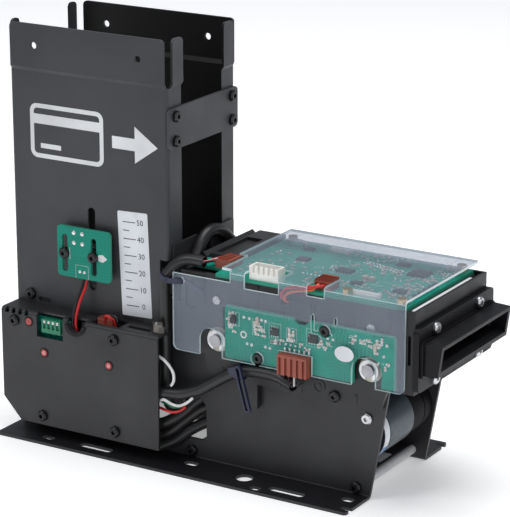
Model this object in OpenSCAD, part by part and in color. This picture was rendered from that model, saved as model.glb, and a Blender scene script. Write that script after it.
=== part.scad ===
// Motorised card dispenser: a card hopper on a bent sheet-metal base frame,
// a belt-driven card transport and reader beside it, and a card mouth at the end.
// Millimetres. +X is the way the cards travel, +Y runs from the front to the rear, +Z is up.
// The origin is the centre of the base fixing slots, on the underside of the base.

/* [Cards] */
// Length of a card
card_l = 85.6; // [85:0.1:86]
// Width of a card
card_w = 54; // [53:0.1:55]
// Height of the card path above the base
card_z = 75.4; // [75:0.1:76]

/* [Base frame] */
// Thickness of the base sheet
base_t = 1.5; // [1.2:0.1:1.6]
// Left end of the base
base_left = -109; // [-112:0.5:-109]
// Right end of the base
base_right = 90; // [88:0.5:92]
// Distance from the middle to the outer edge of each foot flange
flange_edge = 51.5; // [51:0.5:56]
// Spacing of the fixing slots along X
slot_dx = 108.5; // [105:0.5:110]
// Spacing of the fixing slots along Y
slot_dy = 87.5; // [86:0.5:90]
// Width of a fixing slot
slot_w = 4.5; // [3.5:0.1:5]
// Length of a fixing slot
slot_len = 19; // [12:0.5:20]

/* [Hopper] */
// Thickness of the hopper sheet
hop_t = 1.2; // [1:0.1:1.3]
// Top of the hopper
hop_top = 206; // [200:1:240]
// Height of the outward joggle line
hop_jog = 182.5; // [178:0.5:184]
// Depth of the hopper's side flanges
hop_flange = 12; // [9:0.5:13]

/* [Transport] */
// Radius of the rubber rollers
roller_r = 9.5; // [9.3:0.1:9.6]
// Radius of the drive shafts
shaft_r = 3; // [2.5:0.1:3.1]
// Place of the feed roller shaft under the cards
feed_x = -40; // [-44:1:-38]
// Place of the entry roller pair
entry_x = 9.5; // [9:0.5:10]
// Place of the exit roller pair
exit_x = 91.5; // [91:0.5:92]
// Radius of the drive pulleys
pulley_r = 8; // [7.5:0.1:8.2]
// Radius of the motor pulley
motor_pulley_r = 5; // [4.5:0.1:6]

/* [Motor] */
// Radius of the motor
motor_r = 14.2; // [13:0.1:15]
// Place of the motor along the base
motor_x = 80; // [78:0.5:81]
// Height of the motor axis
motor_z = 29.5; // [27:0.5:30]

/* [Hidden] */
$fn = 64;
e = 0.01;               // small overshoot for cuts
gap = 0.05;             // running clearance
card_t = 0.8;           // card with print or embossing margin
card_top = card_z + card_t / 2;
card_low = card_z - card_t / 2;

hop_out = 30;           // outer face of the hopper
hop_in = hop_out - hop_t;
plate_out = hop_in;     // outer face of the side plates
plate_in = plate_out - base_t;
hop_left = base_left - 1.4;
hop_right = hop_left + card_l + 2.9 + 2 * hop_t;
hop_mid = (hop_left + hop_right) / 2;
hop_low = 58;           // lower edge of the hopper faces
flare = 1.4;            // outward step of the hopper's top
flange_low = 98.8;      // lower edge of the hopper's side flanges
plate_top_left = 80;    // side plate height under the hopper
plate_top_right = 58;   // side plate height under the reader
rod_r = 2.2;
front_end = -13;        // where the side plates step down
screw_head_r = 2.75;
screw_r = 1.5;
rod_z = 4.8;
rod_x = [-98, -7.6, 83];
skirt_screw = [73, 49];
cable_cut = [-30, 11, 0.5, 31];
lap_screws = [[-101.2, 69.5], [-29, 60.8]];

box_front = -44.3;      // front of the control box
box_left = -109.3;
box_right = -17;
box_top = 65.3;
box_low = 7.5;
box_t = 1.2;
board_t = 1.6;
ctrl_y = -39;           // front of the control board
box_screws = [[-101.3, 59.5], [-42.3, 59.5], [-85.6, 12.3], [-42.3, 12.3]];
leds = [[-92.6, 60.2], [-83.8, 45.5], [-45.4, 45.8]];
grommet_x = -64.8;
grommet_z = 63.5;
grommet_r = 5.2;         // hole in the sheet
led_r = 1.8;

low_card_x = [-81, -50];
low_card_z = [83.8, 109.3];
low_card_slots = [-76.6, -59.6];
low_card_slot_z = 95.7;
low_card_y = -35;
eye_x = -63.9;

shaft_z = card_low - roller_r;
pinch_z = card_top + roller_r;
pinch_r = 2;
read_left = -11;        // left end of the reader housing
read_right = 112;
read_out = 32;          // outer side of the reader housing
read_wall = 2.9;
deck_top = card_low - 0.4;
deck_low = 70;
roof_low = card_top + 0.4;
read_top = 97;
roller_y = 14;          // middle of each roller
roller_w = 12;
side_board_y = -35.2;   // front of the sensor board
side_screws = [[33.9, 61.6], [69.6, 81.2]];
cover_y = -37.5;        // front of the clear cover
cover_t = 1.2;
cover_top = 102.8;
board_top = read_top + board_t;
board_front = -34;      // front edge of the main board
cover_posts = [[14, 30], [106, 30], [106, -30], [78, -30]];
mouth_screws = [[-22, 87.6], [22, 87.6], [-22, 63.5], [22, 63.5]];
rivet = [88.5, 40];

belt_t = 1.2;
belt_w = 3;
plane_1 = 33.5;         // start of the inner belt
plane_2 = 37.5;         // start of the outer belt
belt_gap = 0.15;

// Routes of the harness
upper_route = [[0.5, -29.6, 101.7], [-6, -29.8, 101.9], [-11, -30.6, 101], [-15.6, -31.4, 97.6],
    [-18.8, -32, 93.4], [-20.4, -32.2, 89], [-20.6, -32.2, 80], [-20.6, -32.2, 66], [-20.6, -32.2, 50],
    [-20.4, -32.2, 36], [-19.4, -31.4, 28], [-16.4, -27, 22], [-12, -20, 19.6], [-7, -11, 19], [-4, -4, 19]];
lower_route = [[-20, -40, 35.5], [-14, -40, 36.5], [-6, -39.6, 37.5], [2, -38.8, 40.5],
    [10, -37.4, 45.5], [18, -36.2, 50.6], [26, -35.6, 53.6], [36, -35.6, 54.9], [45, -36.2, 54.6],
    [51, -37.6, 53.2], [55, -39.4, 52.6]];
arch_route = [[-18, -4, 19.6], [-17.6, -12, 21], [-16.4, -18, 26], [-15.2, -21, 34], [-14.8, -22.4, 46],
    [-14.8, -23, 62], [-14.8, -23, 74], [-14.8, -22.2, 84], [-14.9, -18.6, 92], [-15, -13, 98.4],
    [-15, -8, 103.6], [-15, -2.6, 107], [-15, 4, 107.4], [-15.1, 11, 104.6], [-15.2, 18.6, 98.6],
    [-15.2, 25.8, 91.6], [-15.2, 31, 84.4], [-15, 32.6, 77], [-14.6, 32.4, 66], [-14.4, 32.4, 54],
    [-14.2, 32.4, 38], [-14, 31.8, 30], [-12.6, 28, 23], [-10, 20, 20], [-8, 10, 19]];
low_wire_red = [[-65.6, -32.4, 84.1], [-65.6, -32.5, 82.4], [-65.9, -33.6, 79], [-66.6, -35.4, 75.4],
    [-67, -37.6, 71.4], [-67, -40, 66.6], [-66.6, -41.2, 62.8], [-66.2, -41.2, 60], [-66, -40.8, 57]];
low_wire_black = [for (p = low_wire_red) p + [-1.9, 0, 0]];
loose_routes = [
    [[-19, -40.5, 54.4], [-16, -41.2, 53.6], [-13, -41.6, 51.8], [-10.4, -41.8, 49], [-9.6, -41.7, 46.2],
        [-10, -41.6, 43.2], [-11.4, -41.4, 41.2]],
    [[-19, -41.2, 31.8], [-16.6, -42.2, 33], [-14.2, -43.2, 34], [-10, -43.2, 32.6], [-6.1, -43, 32.4],
        [-2, -42.6, 34.4], [1.2, -42.2, 37.4]],
    [[-19, -40.6, 28.4], [-13.6, -41.6, 28], [-10.6, -41.8, 27.9], [-7, -41, 29], [-4, -40.2, 31.4]],
    [[-19, -39, 31.2], [-14, -40.2, 30.8], [-10.4, -40.4, 30], [-7, -39.4, 30.7], [-4.4, -38.4, 33]],
    [[63.4, -31.3, 101.4], [63.4, -32.4, 101.3], [61.6, -34, 99.4], [58, -35.1, 98.6], [53, -35.1, 97.4],
        [49.4, -35.1, 96], [47.6, -35, 94], [47.4, -33.6, 91.4], [47.4, -29, 90]],
    [[66.4, -31.3, 101.4], [66.4, -32.6, 101.5], [62, -35.2, 101], [58, -35.2, 100.2], [52, -35.1, 99.2],
        [48.6, -35.1, 98], [46, -35, 95.6], [45.6, -33.6, 92.4], [45.6, -29, 91]],
    [[-52, -36.4, 62], [-51.8, -37, 66.2], [-50.4, -39, 68.8], [-48, -39.4, 68.8], [-46.6, -37.6, 66.2],
        [-46.4, -36.5, 62]],
    [[-55.4, -36, 62], [-55, -35.6, 66], [-52.4, -34.6, 67.4], [-48.6, -33.8, 67.4], [-47, -34.4, 65.8],
        [-46.8, -34.6, 62]]
];

black = [0.13, 0.13, 0.14];
dark = [0.09, 0.09, 0.1];
grey = [0.24, 0.24, 0.26];
green = [0.05, 0.45, 0.35];
brown = [0.5, 0.2, 0.13];
steel = [0.75, 0.75, 0.77];

// ---------- helpers ----------

// Extrudes an outline drawn in X and Z, from y0 to y0 + t.
module xz_plate(y0, t) {
    translate([0, y0 + t, 0]) rotate([90, 0, 0]) linear_extrude(height = t) children();
}

// Extrudes an outline drawn in Y and Z, from x0 to x0 + t.
module yz_plate(x0, t) {
    translate([x0, 0, 0]) rotate([90, 0, 90]) linear_extrude(height = t) children();
}

// Extrudes an outline drawn in X and Y, from z0 to z0 + t.
module xy_plate(z0, t) {
    translate([0, 0, z0]) linear_extrude(height = t) children();
}

// Round bar along Y, from y0 to y1.
module bar_y(x, z, y0, y1, r) {
    translate([x, y0, z]) rotate([-90, 0, 0]) cylinder(h = y1 - y0, r = r);
}

// Ring along Y.
module ring_y(x, z, y0, y1, r_out, r_in) {
    difference() {
        bar_y(x, z, y0, y1, r_out);
        bar_y(x, z, y0 - 1, y1 + 1, r_in);
    }
}

// Box given by its two corners.
module block(lo, hi) {
    translate(lo) cube(hi - lo);
}

// Rectangle from (x0, y0) to (x1, y1) with round corners.
module round_rect(x0, y0, x1, y1, r) {
    translate([x0 + r, y0]) square([x1 - x0 - 2 * r, y1 - y0]);
    translate([x0, y0 + r]) square([x1 - x0, y1 - y0 - 2 * r]);
    for (x = [x0 + r, x1 - r], y = [y0 + r, y1 - r]) translate([x, y]) circle(r);
}

// Slot of width w and end-to-end length len along its first axis, centred on (x, y).
module slot_x(x, y, len, w) {
    round_rect(x - len / 2, y - w / 2, x + len / 2, y + w / 2, w / 2 - e);
}

// Slot along the second axis.
module slot_y(x, y, len, w) {
    round_rect(x - w / 2, y - len / 2, x + w / 2, y + len / 2, w / 2 - e);
}

// Rectangle with a round corner at the origin.
module corner_fill(w, h, r) {
    translate([r, 0]) square([w - r, h]);
    translate([0, r]) square([w, h - r]);
    translate([r, r]) circle(r);
}

// Bent strip: a leg of length w along x and a leg of length h along y, round at the bend.
module bend_profile(w, h, t, r) {
    difference() {
        corner_fill(w, h, r);
        translate([t, t]) corner_fill(w, h, max(r - t, 0.4));
    }
}

// Black pan-head screw: its head stands out towards dir (-1 front, +1 rear) from y.
module screw_y(x, z, y, dir, len) {
    translate([x, y, z]) rotate([dir > 0 ? -90 : 90, 0, 0]) pan_screw(len);
}

// Pan-head screw along Z, head above the origin and shank below it.
module pan_screw(len) {
    difference() {
        union() {
            cylinder(h = 1.2, r = screw_head_r);
            translate([0, 0, 1.2]) cylinder(h = 0.7, r1 = screw_head_r, r2 = 2.1);
        }
        translate([0, 0, 0.9]) cylinder(h = 2, r = 1.2, $fn = 6);
    }
    translate([0, 0, -len]) cylinder(h = len, r = screw_r);
}

// Tube swept along a list of points, with flat ends.
function unit(v) = v / norm(v);
function tangent(p, i) = unit(p[min(i + 1, len(p) - 1)] - p[max(i - 1, 0)]);
function side_of(t, last) = unit(last - t * (last * t));
function frames(p, i = 0, last = [0.3, 1, 0.2]) =
    i >= len(p) ? [] : let (t = tangent(p, i), n = side_of(t, last)) concat([[t, n]], frames(p, i + 1, n));
function ring_points(c, f, r, k) =
    [for (j = [0 : k - 1]) let (a = 360 * j / k) c + r * (cos(a) * f[1] + sin(a) * cross(f[0], f[1]))];
module tube(p, r, k) {
    f = frames(p);
    n = len(p);
    points = [for (i = [0 : n - 1]) each ring_points(p[i], f[i], r, k)];
    sides = [for (i = [0 : n - 2], j = [0 : k - 1])
        [i * k + j, i * k + (j + 1) % k, (i + 1) * k + (j + 1) % k, (i + 1) * k + j]];
    ends = [[for (j = [0 : k - 1]) k - 1 - j], [for (j = [0 : k - 1]) (n - 1) * k + j]];
    polyhedron(points = points, faces = [for (q = concat(sides, ends)) [for (m = [len(q) - 1 : -1 : 0]) q[m]]]);
}

// Outline round two circles with the straight belt runs between them.
function arc(c, r, from, to) = [for (i = [0 : 32]) c + r * [cos(from + (to - from) * i / 32),
    sin(from + (to - from) * i / 32)]];
module belt_outline(a, ra, b, rb) {
    axis = atan2(b[1] - a[1], b[0] - a[0]);
    lean = acos((ra - rb) / norm(b - a));
    polygon(concat(arc(a, ra, axis + lean, axis + 360 - lean), arc(b, rb, axis - lean, axis + lean)));
}

module belt(a, ra, b, rb, y0) {
    xz_plate(y0, belt_w) difference() {
        belt_outline(a, ra + belt_gap + belt_t, b, rb + belt_gap + belt_t);
        belt_outline(a, ra + belt_gap, b, rb + belt_gap);
    }
}

// ---------- base frame ----------

module side_outline() {
    polygon([[base_left, 0], [base_right, 0], [base_right + 9.4, 54], [base_right + 9.4, plate_top_right],
        [front_end, plate_top_right], [front_end, plate_top_left], [base_left, plate_top_left]]);
}

module side_plate() {
    difference() {
        intersection() {
            yz_plate(base_left, base_right + 20 - base_left)
                translate([-plate_in, 0]) mirror([1, 0]) bend_profile(flange_edge - plate_in, 90, base_t, 2);
            xz_plate(-60, 60) side_outline();
            xy_plate(-1, 100) union() {
                round_rect(base_left - 4, -flange_edge, base_right, 10, 1.5);
                translate([0, -plate_out - 3]) square([base_right + 20, 40]);
            }
        }
        xy_plate(-1, 4) {
            for (x = [-slot_dx / 2, slot_dx / 2]) slot_x(x, -slot_dy / 2, slot_len, slot_w);
            slot_x(-82, -45, 7, 3.4);
            slot_x(-3, -36.9, 7.6, 4.5);
            translate([28.3, -39.3]) circle(4.2);
            slot_x(39.3, -47.6, 5.9, 4);
            slot_x(83.2, -37.1, 6.5, 4.5);
            // open notch at the right end
            slot_x(base_right + 5, -47, 20, 3.2);
        }
        xz_plate(-40, 20) {
            round_rect(cable_cut[0], cable_cut[1], cable_cut[2], cable_cut[3], 3);
            for (x = rod_x) translate([x, rod_z]) circle(screw_r);
            translate(skirt_screw) circle(screw_r);
            translate(rivet) circle(screw_r);
            for (p = lap_screws) translate(p) circle(screw_r);
            translate([feed_x, shaft_z]) circle(4.5);
        }
    }
}

module side_plate_front() {
    color(black) side_plate();
}

module side_plate_rear() {
    color(black) difference() {
        mirror([0, 1, 0]) side_plate();
        bar_y(motor_x, motor_z, 20, 40, 6.2);
    }
}

module spacer_rods() {
    color(steel) for (x = rod_x) difference() {
        bar_y(x, rod_z, -plate_in, plate_in, rod_r);
        for (s = [-1, 1]) bar_y(x, rod_z, s > 0 ? plate_in - 6 : -plate_in - e, s > 0 ? plate_in + e : -plate_in + 6,
            screw_r);
    }
}

module cross_plate() {
    color(black) block([62, -plate_in, 5], [rod_x[2] - rod_r - 0.4, plate_in, 5 + base_t]);
}

// ---------- hopper ----------

// side_low is the lower end of the right-hand flange.
module hopper_channel(side_low) {
    top_step = 2;
    difference() {
        union() {
            xy_plate(hop_low, hop_jog - hop_low) intersection() {
                difference() {
                    round_rect(hop_left, -hop_out, hop_right, 10, 1.8);
                    round_rect(hop_left + hop_t, -hop_in, hop_right - hop_t, 20, 0.15);
                }
                translate([hop_left - 1, -hop_out - 1]) square([120, hop_flange + 1]);
            }
            // the top of the face, stepped outwards
            intersection() {
                yz_plate(hop_left, 90) polygon([[-hop_in, hop_jog - 1], [-hop_out, hop_jog - 1],
                    [-hop_out, hop_jog], [-hop_out - flare, hop_jog + top_step], [-hop_out - flare, hop_top + 1],
                    [-hop_in - flare, hop_top + 1], [-hop_in - flare, hop_jog + top_step + 0.4],
                    [-hop_in, hop_jog + 0.4]]);
                xz_plate(-40, 20) round_rect(hop_left + 1.4, hop_jog - 5, hop_right - 0.6, hop_top, 2.4);
            }
            // the tops of the side flanges, stepped outwards
            for (m = [0, 1]) translate([hop_mid, 0, 0]) mirror([m, 0, 0]) translate([-hop_mid, 0, 0])
                intersection() {
                    xz_plate(-hop_out, hop_flange) polygon([[hop_right - hop_t, hop_jog - 1],
                        [hop_right, hop_jog - 1], [hop_right, hop_jog], [hop_right + flare, hop_jog + top_step],
                        [hop_right + flare, hop_top + 1], [hop_right - hop_t + flare, hop_top + 1],
                        [hop_right - hop_t + flare, hop_jog + top_step + 0.4], [hop_right - hop_t, hop_jog + 0.4]]);
                    yz_plate(hop_right - 5, 10)
                        round_rect(-hop_out + 3, hop_jog - 5, -hop_out + hop_flange - 2.8 * m, hop_top, 2.4);
                }
        }
        // the right-hand flange stops above the base, and the face steps in beside the cable
        block([hop_right - 5, -hop_out - 1, 0], [hop_right + 1, 0, side_low]);
        xz_plate(-40, 20) {
            for (s = [-1, 1]) translate([hop_mid + 30 * s, 195.5]) circle(1.7);
            for (p = lap_screws) translate(p) circle(screw_r);
            translate([feed_x, shaft_z]) circle(6);
        }
        for (z = [157, 169]) translate([hop_right - 5, -25, z]) rotate([0, 90, 0]) cylinder(h = 10, r = screw_r);
    }
}

module hopper_front() {
    color(grey) difference() {
        hopper_channel(flange_low);
        xz_plate(-40, 20) {
            slot_y(eye_x, 98, 42, 4.4);
            for (x = low_card_slots) translate([x, low_card_slot_z]) circle(screw_r);
            slot_x(-93, 67.4, 8, 2.4);
        }
    }
}

module hopper_rear() {
    color(grey) mirror([0, 1, 0]) hopper_channel(flange_low - 7);
}

module hopper_tie_plate() {
    color(grey) difference() {
        yz_plate(hop_right, 1.5) round_rect(-30.5, 153, 30.5, 173, 2.5);
        for (y = [-25, 25], z = [157, 169]) translate([hop_right - 2, y, z]) rotate([0, 90, 0])
            cylinder(h = 6, r = screw_r);
    }
}

module throat_plate() {
    color(black) difference() {
        yz_plate(hop_right, hop_t) round_rect(-27, card_top + 0.6, 27, 106.5, 1);
        block([hop_right - 1, -6.3, 92], [hop_right + 3, 6.3, 120]);
    }
}

module roller_windows(x, half_l, z0, z1) {
    for (s = [-1, 1]) block([x - half_l, s * roller_y - 7, z0], [x + half_l, s * roller_y + 7, z1]);
}

module hopper_floor() {
    floor_top = card_low - 0.8;
    tab_low = 66;
    color(black) difference() {
        union() {
            block([hop_left + 1.6, -plate_in, floor_top - base_t], [hop_right - 1.5, plate_in, floor_top]);
            for (s = [-1, 1], x = [-104, -66]) block([x, s > 0 ? plate_in - hop_t : -plate_in, tab_low],
                [x + 14, s > 0 ? plate_in : -plate_in + hop_t, floor_top - e]);
        }
        roller_windows(feed_x, roller_r + 1, tab_low, floor_top + 1);
    }
}

// ---------- fasteners ----------

module m3_screws() {
    color(dark) {
        for (s = [-1, 1]) {
            for (x = rod_x) screw_y(x, rod_z, s * plate_out, s, 6);
            screw_y(skirt_screw[0], skirt_screw[1], s * read_out, s, 4.7);
            for (p = lap_screws) screw_y(p[0], p[1], s * hop_out, s, 2.7);
            for (z = [157, 169]) translate([hop_right + 1.5, s * 25, z]) rotate([0, 90, 0]) pan_screw(2.7);
        }
        for (p = box_screws) screw_y(p[0], p[1], box_front, -1, 9);
        for (x = low_card_slots) screw_y(x, low_card_slot_z, low_card_y - 0.05, -1, 6);
        for (p = side_screws) screw_y(p[0], p[1], side_board_y, -1, 3.2);
    }
}

module silver_screws() {
    color(steel) {
        for (p = mouth_screws) translate([119, p[0], p[1]]) rotate([0, 90, 0]) pan_screw(4.5);
        for (s = [-1, 1]) screw_y(rivet[0], rivet[1], s * plate_out, s, 1.5);
    }
}

// Hexagonal standoffs: behind the control board, under the low-card board and under the cover.
module hex_post(x, z, y0, y1, r) {
    difference() {
        translate([x, y0, z]) rotate([-90, 0, 0]) cylinder(h = y1 - y0, r = r, $fn = 6);
        bar_y(x, z, y0 - 1, y1 + 1, screw_r);
    }
}

module standoffs() {
    color([0.72, 0.6, 0.35]) {
        for (p = box_screws) {
            hex_post(p[0], p[1], box_front + box_t, ctrl_y, 2.9);
            hex_post(p[0], p[1], ctrl_y + board_t, p[1] > hop_low ? -hop_out : -plate_out, 2.9);
        }
        for (x = low_card_slots) hex_post(x, low_card_slot_z, low_card_y + board_t + 0.05, -hop_out, 2.6);
        for (p = cover_posts) translate([p[0], p[1], board_top])
            cylinder(h = cover_top - cover_t - board_top, r = 2.6, $fn = 6);
    }
}

// ---------- control box ----------

module box_outline() {
    polygon([[box_left, box_top], [box_right, box_top], [box_right, box_low], [-99, box_low], [box_left, 18.7]]);
}

module control_box() {
    depth = -hop_out - box_front;
    color(black) difference() {
        union() {
            intersection() {
                yz_plate(box_left, box_right - box_left) translate([box_front, box_top]) mirror([0, 1])
                    bend_profile(depth, box_top - box_low, box_t, 2);
                xz_plate(-60, 60) box_outline();
            }
            yz_plate(box_left, box_t) translate([box_front, box_top]) mirror([0, 1])
                corner_fill(depth, box_top - 18.7, 2);
        }
        xz_plate(-60, 25) for (p = box_screws) translate(p) circle(screw_r);
        xz_plate(-60, 25) for (p = leds) translate(p) circle(led_r + 0.1);
        // window over the header block, and the notch for the grommet
        block([-88, -46, 53.3], [-72.4, -40.4, box_top + 1]);
        xz_plate(-46, 7) {
            translate([grommet_x, grommet_z]) circle(grommet_r);
            translate([grommet_x - grommet_r, grommet_z]) square([2 * grommet_r, 8]);
        }
        // openings in the top for the wires, and vents at its left end
        block([-57, -42, 60], [-41, -31, box_top + 1]);
        block([-38, -39.5, 60], [-25, -36.4, box_top + 1]);
        block([-24.6, -35.6, 60], [box_right + 1, -20, box_top + 1]);
        for (i = [0 : 3]) block([-107 + 3.9 * i, -46, box_top - 2.6], [-104.8 + 3.9 * i, -42.4, box_top + 1]);
    }
}

module control_board() {
    color(green) xz_plate(ctrl_y, board_t) difference() {
        polygon([[-105, 62.5], [-22, 62.5], [-22, 10], [-97, 10], [-105, 19]]);
        for (p = box_screws) translate(p) circle(screw_r);
        translate([grommet_x, grommet_z - 4]) circle(6.5);
        translate([grommet_x - 6.5, grommet_z - 4]) square([13, 10]);
    }
}

module header_block() {
    color([0.03, 0.35, 0.2]) difference() {
        block([-86, -43, 55.5], [-74.8, ctrl_y, 62.3]);
        for (i = [0 : 3]) block([-85 + 2.6 * i, -43.2, 57.6], [-83.4 + 2.6 * i, -42.2, 60.4]);
    }
}

module status_leds() {
    color("crimson") for (p = leds) {
        bar_y(p[0], p[1], box_front - 0.4, ctrl_y, led_r);
    }
}

module cable_grommet() {
    color(dark) {
        grommet_ring(box_front - 0.8, 0.8, grommet_r + 0.9, 2.4);
        grommet_ring(box_front, box_t, grommet_r - 0.02, 0.2);
        grommet_ring(box_front + box_t, 0.8, grommet_r + 0.9, 2.4);
    }
}

// Open-topped ring that stops a little below the box's top.
module grommet_ring(y0, t, r, below_top) {
    bore = 4.2;
    xz_plate(y0, t) difference() {
        intersection() {
            union() {
                translate([grommet_x, grommet_z]) circle(r);
                translate([grommet_x - r, grommet_z]) square([2 * r, 10]);
            }
            translate([grommet_x - 10, 50]) square([20, box_top - 50 - below_top]);
        }
        translate([grommet_x, grommet_z]) circle(bore);
        translate([grommet_x - bore, grommet_z]) square([2 * bore, 10]);
    }
}

module earth_stud() {
    color(steel) translate([-20.2, -38, box_top]) {
        cylinder(h = 3.4, r = 2.9, $fn = 6);
        translate([0, 0, 3.4]) cylinder(h = 1.4, r = 3.1);
        translate([0, 0, 4.8]) cylinder(h = 1.2, r1 = 3.1, r2 = 2.2);
    }
}

// ---------- low-card sensor, which slides up and down on the hopper ----------

module low_card_board() {
    color(green) xz_plate(low_card_y, board_t) difference() {
        round_rect(low_card_x[0], low_card_z[0], low_card_x[1], low_card_z[1], 2);
        for (x = low_card_slots) slot_y(x, low_card_slot_z, 19, 3.3);
    }
}

module low_card_sensor() {
    color(dark) {
        block([eye_x - 1.3, low_card_y + board_t, 92], [eye_x + 1.3, -hop_in - 0.2, 99]);
        block([-69.6, low_card_y + board_t, 84.2], [-63.6, -31.2, 90.2]);
    }
}

module low_card_wires() {
    color("red") {
        tube(low_wire_red, 0.7, 8);
        tube(low_wire_black, 0.7, 8);
    }
}

// ---------- reader ----------

module skirt_outline() {
    difference() {
        polygon([[read_left, 57], [2, 57], [2, 46.6], [96.8, 46.6], [99.6, 55], [99.6, 60], [read_right, 60],
            [read_right, deck_top], [read_left, deck_top]]);
        difference() {
            translate([1, 45]) square([8, 9.6]);
            translate([10, 54.6]) circle(8);
        }
    }
}

module reader_lower_housing() {
    color(dark) difference() {
        union() {
            for (s = [-1, 1]) xz_plate(s > 0 ? read_out - read_wall : -read_out, read_wall) skirt_outline();
            block([read_left, -read_out + e, deck_low], [read_right, read_out - e, deck_top]);
            block([hop_right + 2, -26, deck_top - 2.4], [read_left + 1, 26, deck_top]);
            block([read_left, -read_out + 1, 62], [read_left + 2.5, read_out - 1, deck_low + 1]);
            block([read_right - 2.5, -read_out + 1, 60.5], [read_right, read_out - 1, deck_low + 1]);
            for (s = [-1, 1]) block([26.4, s > 0 ? read_out - 2.2 : -read_out, 34.5],
                [31, s > 0 ? read_out : -read_out + 2.2, 50]);
        }
        for (x = [entry_x, exit_x]) {
            roller_windows(x, roller_r + 1, deck_low - 2, deck_top + 1);
            bar_y(x, shaft_z, -40, 40, 4.5);
        }
        block([45.5, 9.5, 60], [58.5, 18.5, 80]);
        // way through for the sleeve that arches over the reader's end
        block([hop_right + 1, -27, 70], [read_left - 0.4, -19.4, 76]);
        bar_y(skirt_screw[0], skirt_screw[1], -40, 40, screw_r);
        for (x = [entry_x, exit_x], s = [-1, 1]) bar_y(x, shaft_z, s > 0 ? read_out - 0.9 : -40,
            s > 0 ? 40 : -read_out + 0.9, 6.1);
        for (p = side_screws) if (p[1] < deck_top) bar_y(p[0], p[1], -40, -30, screw_r);
    }
}

module reader_upper_housing() {
    wall = 2.5;
    lip = card_w / 2 + 0.4;
    color(dark) difference() {
        union() {
            block([read_left, -read_out, deck_top], [read_right, read_out, read_top]);
            // ribs on the two long sides
            for (s = [-1, 1], x = [-6, 1, 20, 30, 44, 58, 82, 100]) block([x, s * read_out - 0.5, 81],
                [x + 1.6, s * read_out + 0.5, read_top - 1]);
            // posts behind the sensor board
            for (p = side_screws) if (p[1] > deck_top) bar_y(p[0], p[1], side_board_y + board_t, -31, 3.2);
        }
        block([read_left - 1, -lip, deck_top - 1], [read_right + 1, lip, roof_low]);
        block([read_left + wall, -read_out + wall, roof_low + wall], [read_right - wall, read_out - wall, read_top + 1]);
        for (x = [entry_x, exit_x]) {
            roller_windows(x, roller_r + 1, deck_top - 1, roof_low + wall + 1);
            bar_y(x, pinch_z, -40, 40, pinch_r + gap);
        }
        block([52, -10, deck_top - 1], [72, 6, roof_low + wall + 1]);
        for (p = side_screws) if (p[1] > deck_top) bar_y(p[0], p[1], -40, -31.5, screw_r);
        // recesses in the front side, and a way in for two wires
        block([44, -33, 88.5], [49, -29, 93.5]);
        block([-8.5, -33, 79], [-3, -31.2, 91]);
        block([62, -33, 84], [80, -31.4, 92]);
    }
}

module entry_cover() {
    color(dark) difference() {
        block([read_left, -12.5, read_top], [8.2, 33, 100.6]);
        translate([read_left, -20, 100.6]) rotate([0, 45, 0]) cube([3, 60, 3]);
        block([-6, -9, 99], [3, 20, 102]);
    }
}

module end_plate() {
    color(black) difference() {
        union() {
            block([114.5, -36.2, 58.5], [116, 36.2, 98]);
            for (s = [-1, 1]) block([107, s > 0 ? 35 : -36.2, 58.5], [114.6, s > 0 ? 36.2 : -35, 98]);
            for (s = [-1, 1]) block([read_right, s > 0 ? 24 : -32, 90], [114.6, s > 0 ? 32 : -24, 96]);
        }
        block([114, -28.5, card_z - 1.6], [117, 28.5, card_z + 1.6]);
        for (s = [-1, 1]) block([112.6, s > 0 ? 34 : -37, 72.6], [114, s > 0 ? 37 : -34, 86.6]);
        for (p = mouth_screws) translate([110, p[0], p[1]]) rotate([0, 90, 0]) cylinder(h = 10, r = screw_r);
    }
}

module mouth_bezel() {
    tip_top = 129.4;
    tip_low = 127.4;
    color(dark) difference() {
        union() {
            yz_plate(116, 3) round_rect(-38, 60.5, 38, 91, 2.5);
            // concave foot between the plate and the funnel
            yz_plate(118.9, 1.6) round_rect(-36.6, 67.4, 36.6, 84.7, 1);
            xz_plate(-35.5, 71) polygon([[118, 68.6], [tip_low, 68.9], [tip_top, 82.9], [tip_top, 83.6], [118, 84.2]]);
        }
        // funnel: flat under the roof, with a lip that slopes down to the lower edge
        xz_plate(-33.3, 66.6) polygon([[121.5, card_z - 1.6], [124.5, card_z - 2.2], [128.4, 70.6], [tip_top + 2, 70.6],
            [tip_top + 2, 82], [128, 81.6], [121.5, card_z + 3.4]]);
        block([115, -28, card_z - 1.6], [122, 28, card_z + 1.6]);
        for (p = mouth_screws) translate([110, p[0], p[1]]) rotate([0, 90, 0]) cylinder(h = 12, r = screw_r);
    }
}

module clear_front() {
    difference() {
        round_rect(-12.6, 58.4, 111.5, cover_top + 10, 3);
        translate([-20, 96.6]) square([39.2, 20]);
        translate([26.9, 94.8]) square([18.5, 20]);
        translate([60.3, 97]) square([9.3, 20]);
        for (x = [entry_x - 1, exit_x - 1]) {
            translate([x, 66]) circle(6.2);
            translate([x - 6.2, 50]) square([12.4, 16]);
        }
        translate([45.4, 50]) square([18, 18]);
        translate([-8.2, 93]) circle(1.8);
        slot_y(63.6, 84, 9.4, 1.6);
        slot_x(68.4, 80, 11, 1.6);
        slot_y(75.7, 87, 4, 1.4);
        for (p = side_screws) translate(p) circle(3.4);
    }
}

module clear_top() {
    difference() {
        round_rect(9, cover_y - 10, 111.5, 36.5, 1);
        translate([26.9, -60]) square([18.5, 37]);
        translate([60.3, -60]) square([9.3, 38]);
        translate([0, -60]) square([19.2, 60 + cover_y + 2.2]);
        translate([-6, -40]) square([19.8, 28]);
    }
}

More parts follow.
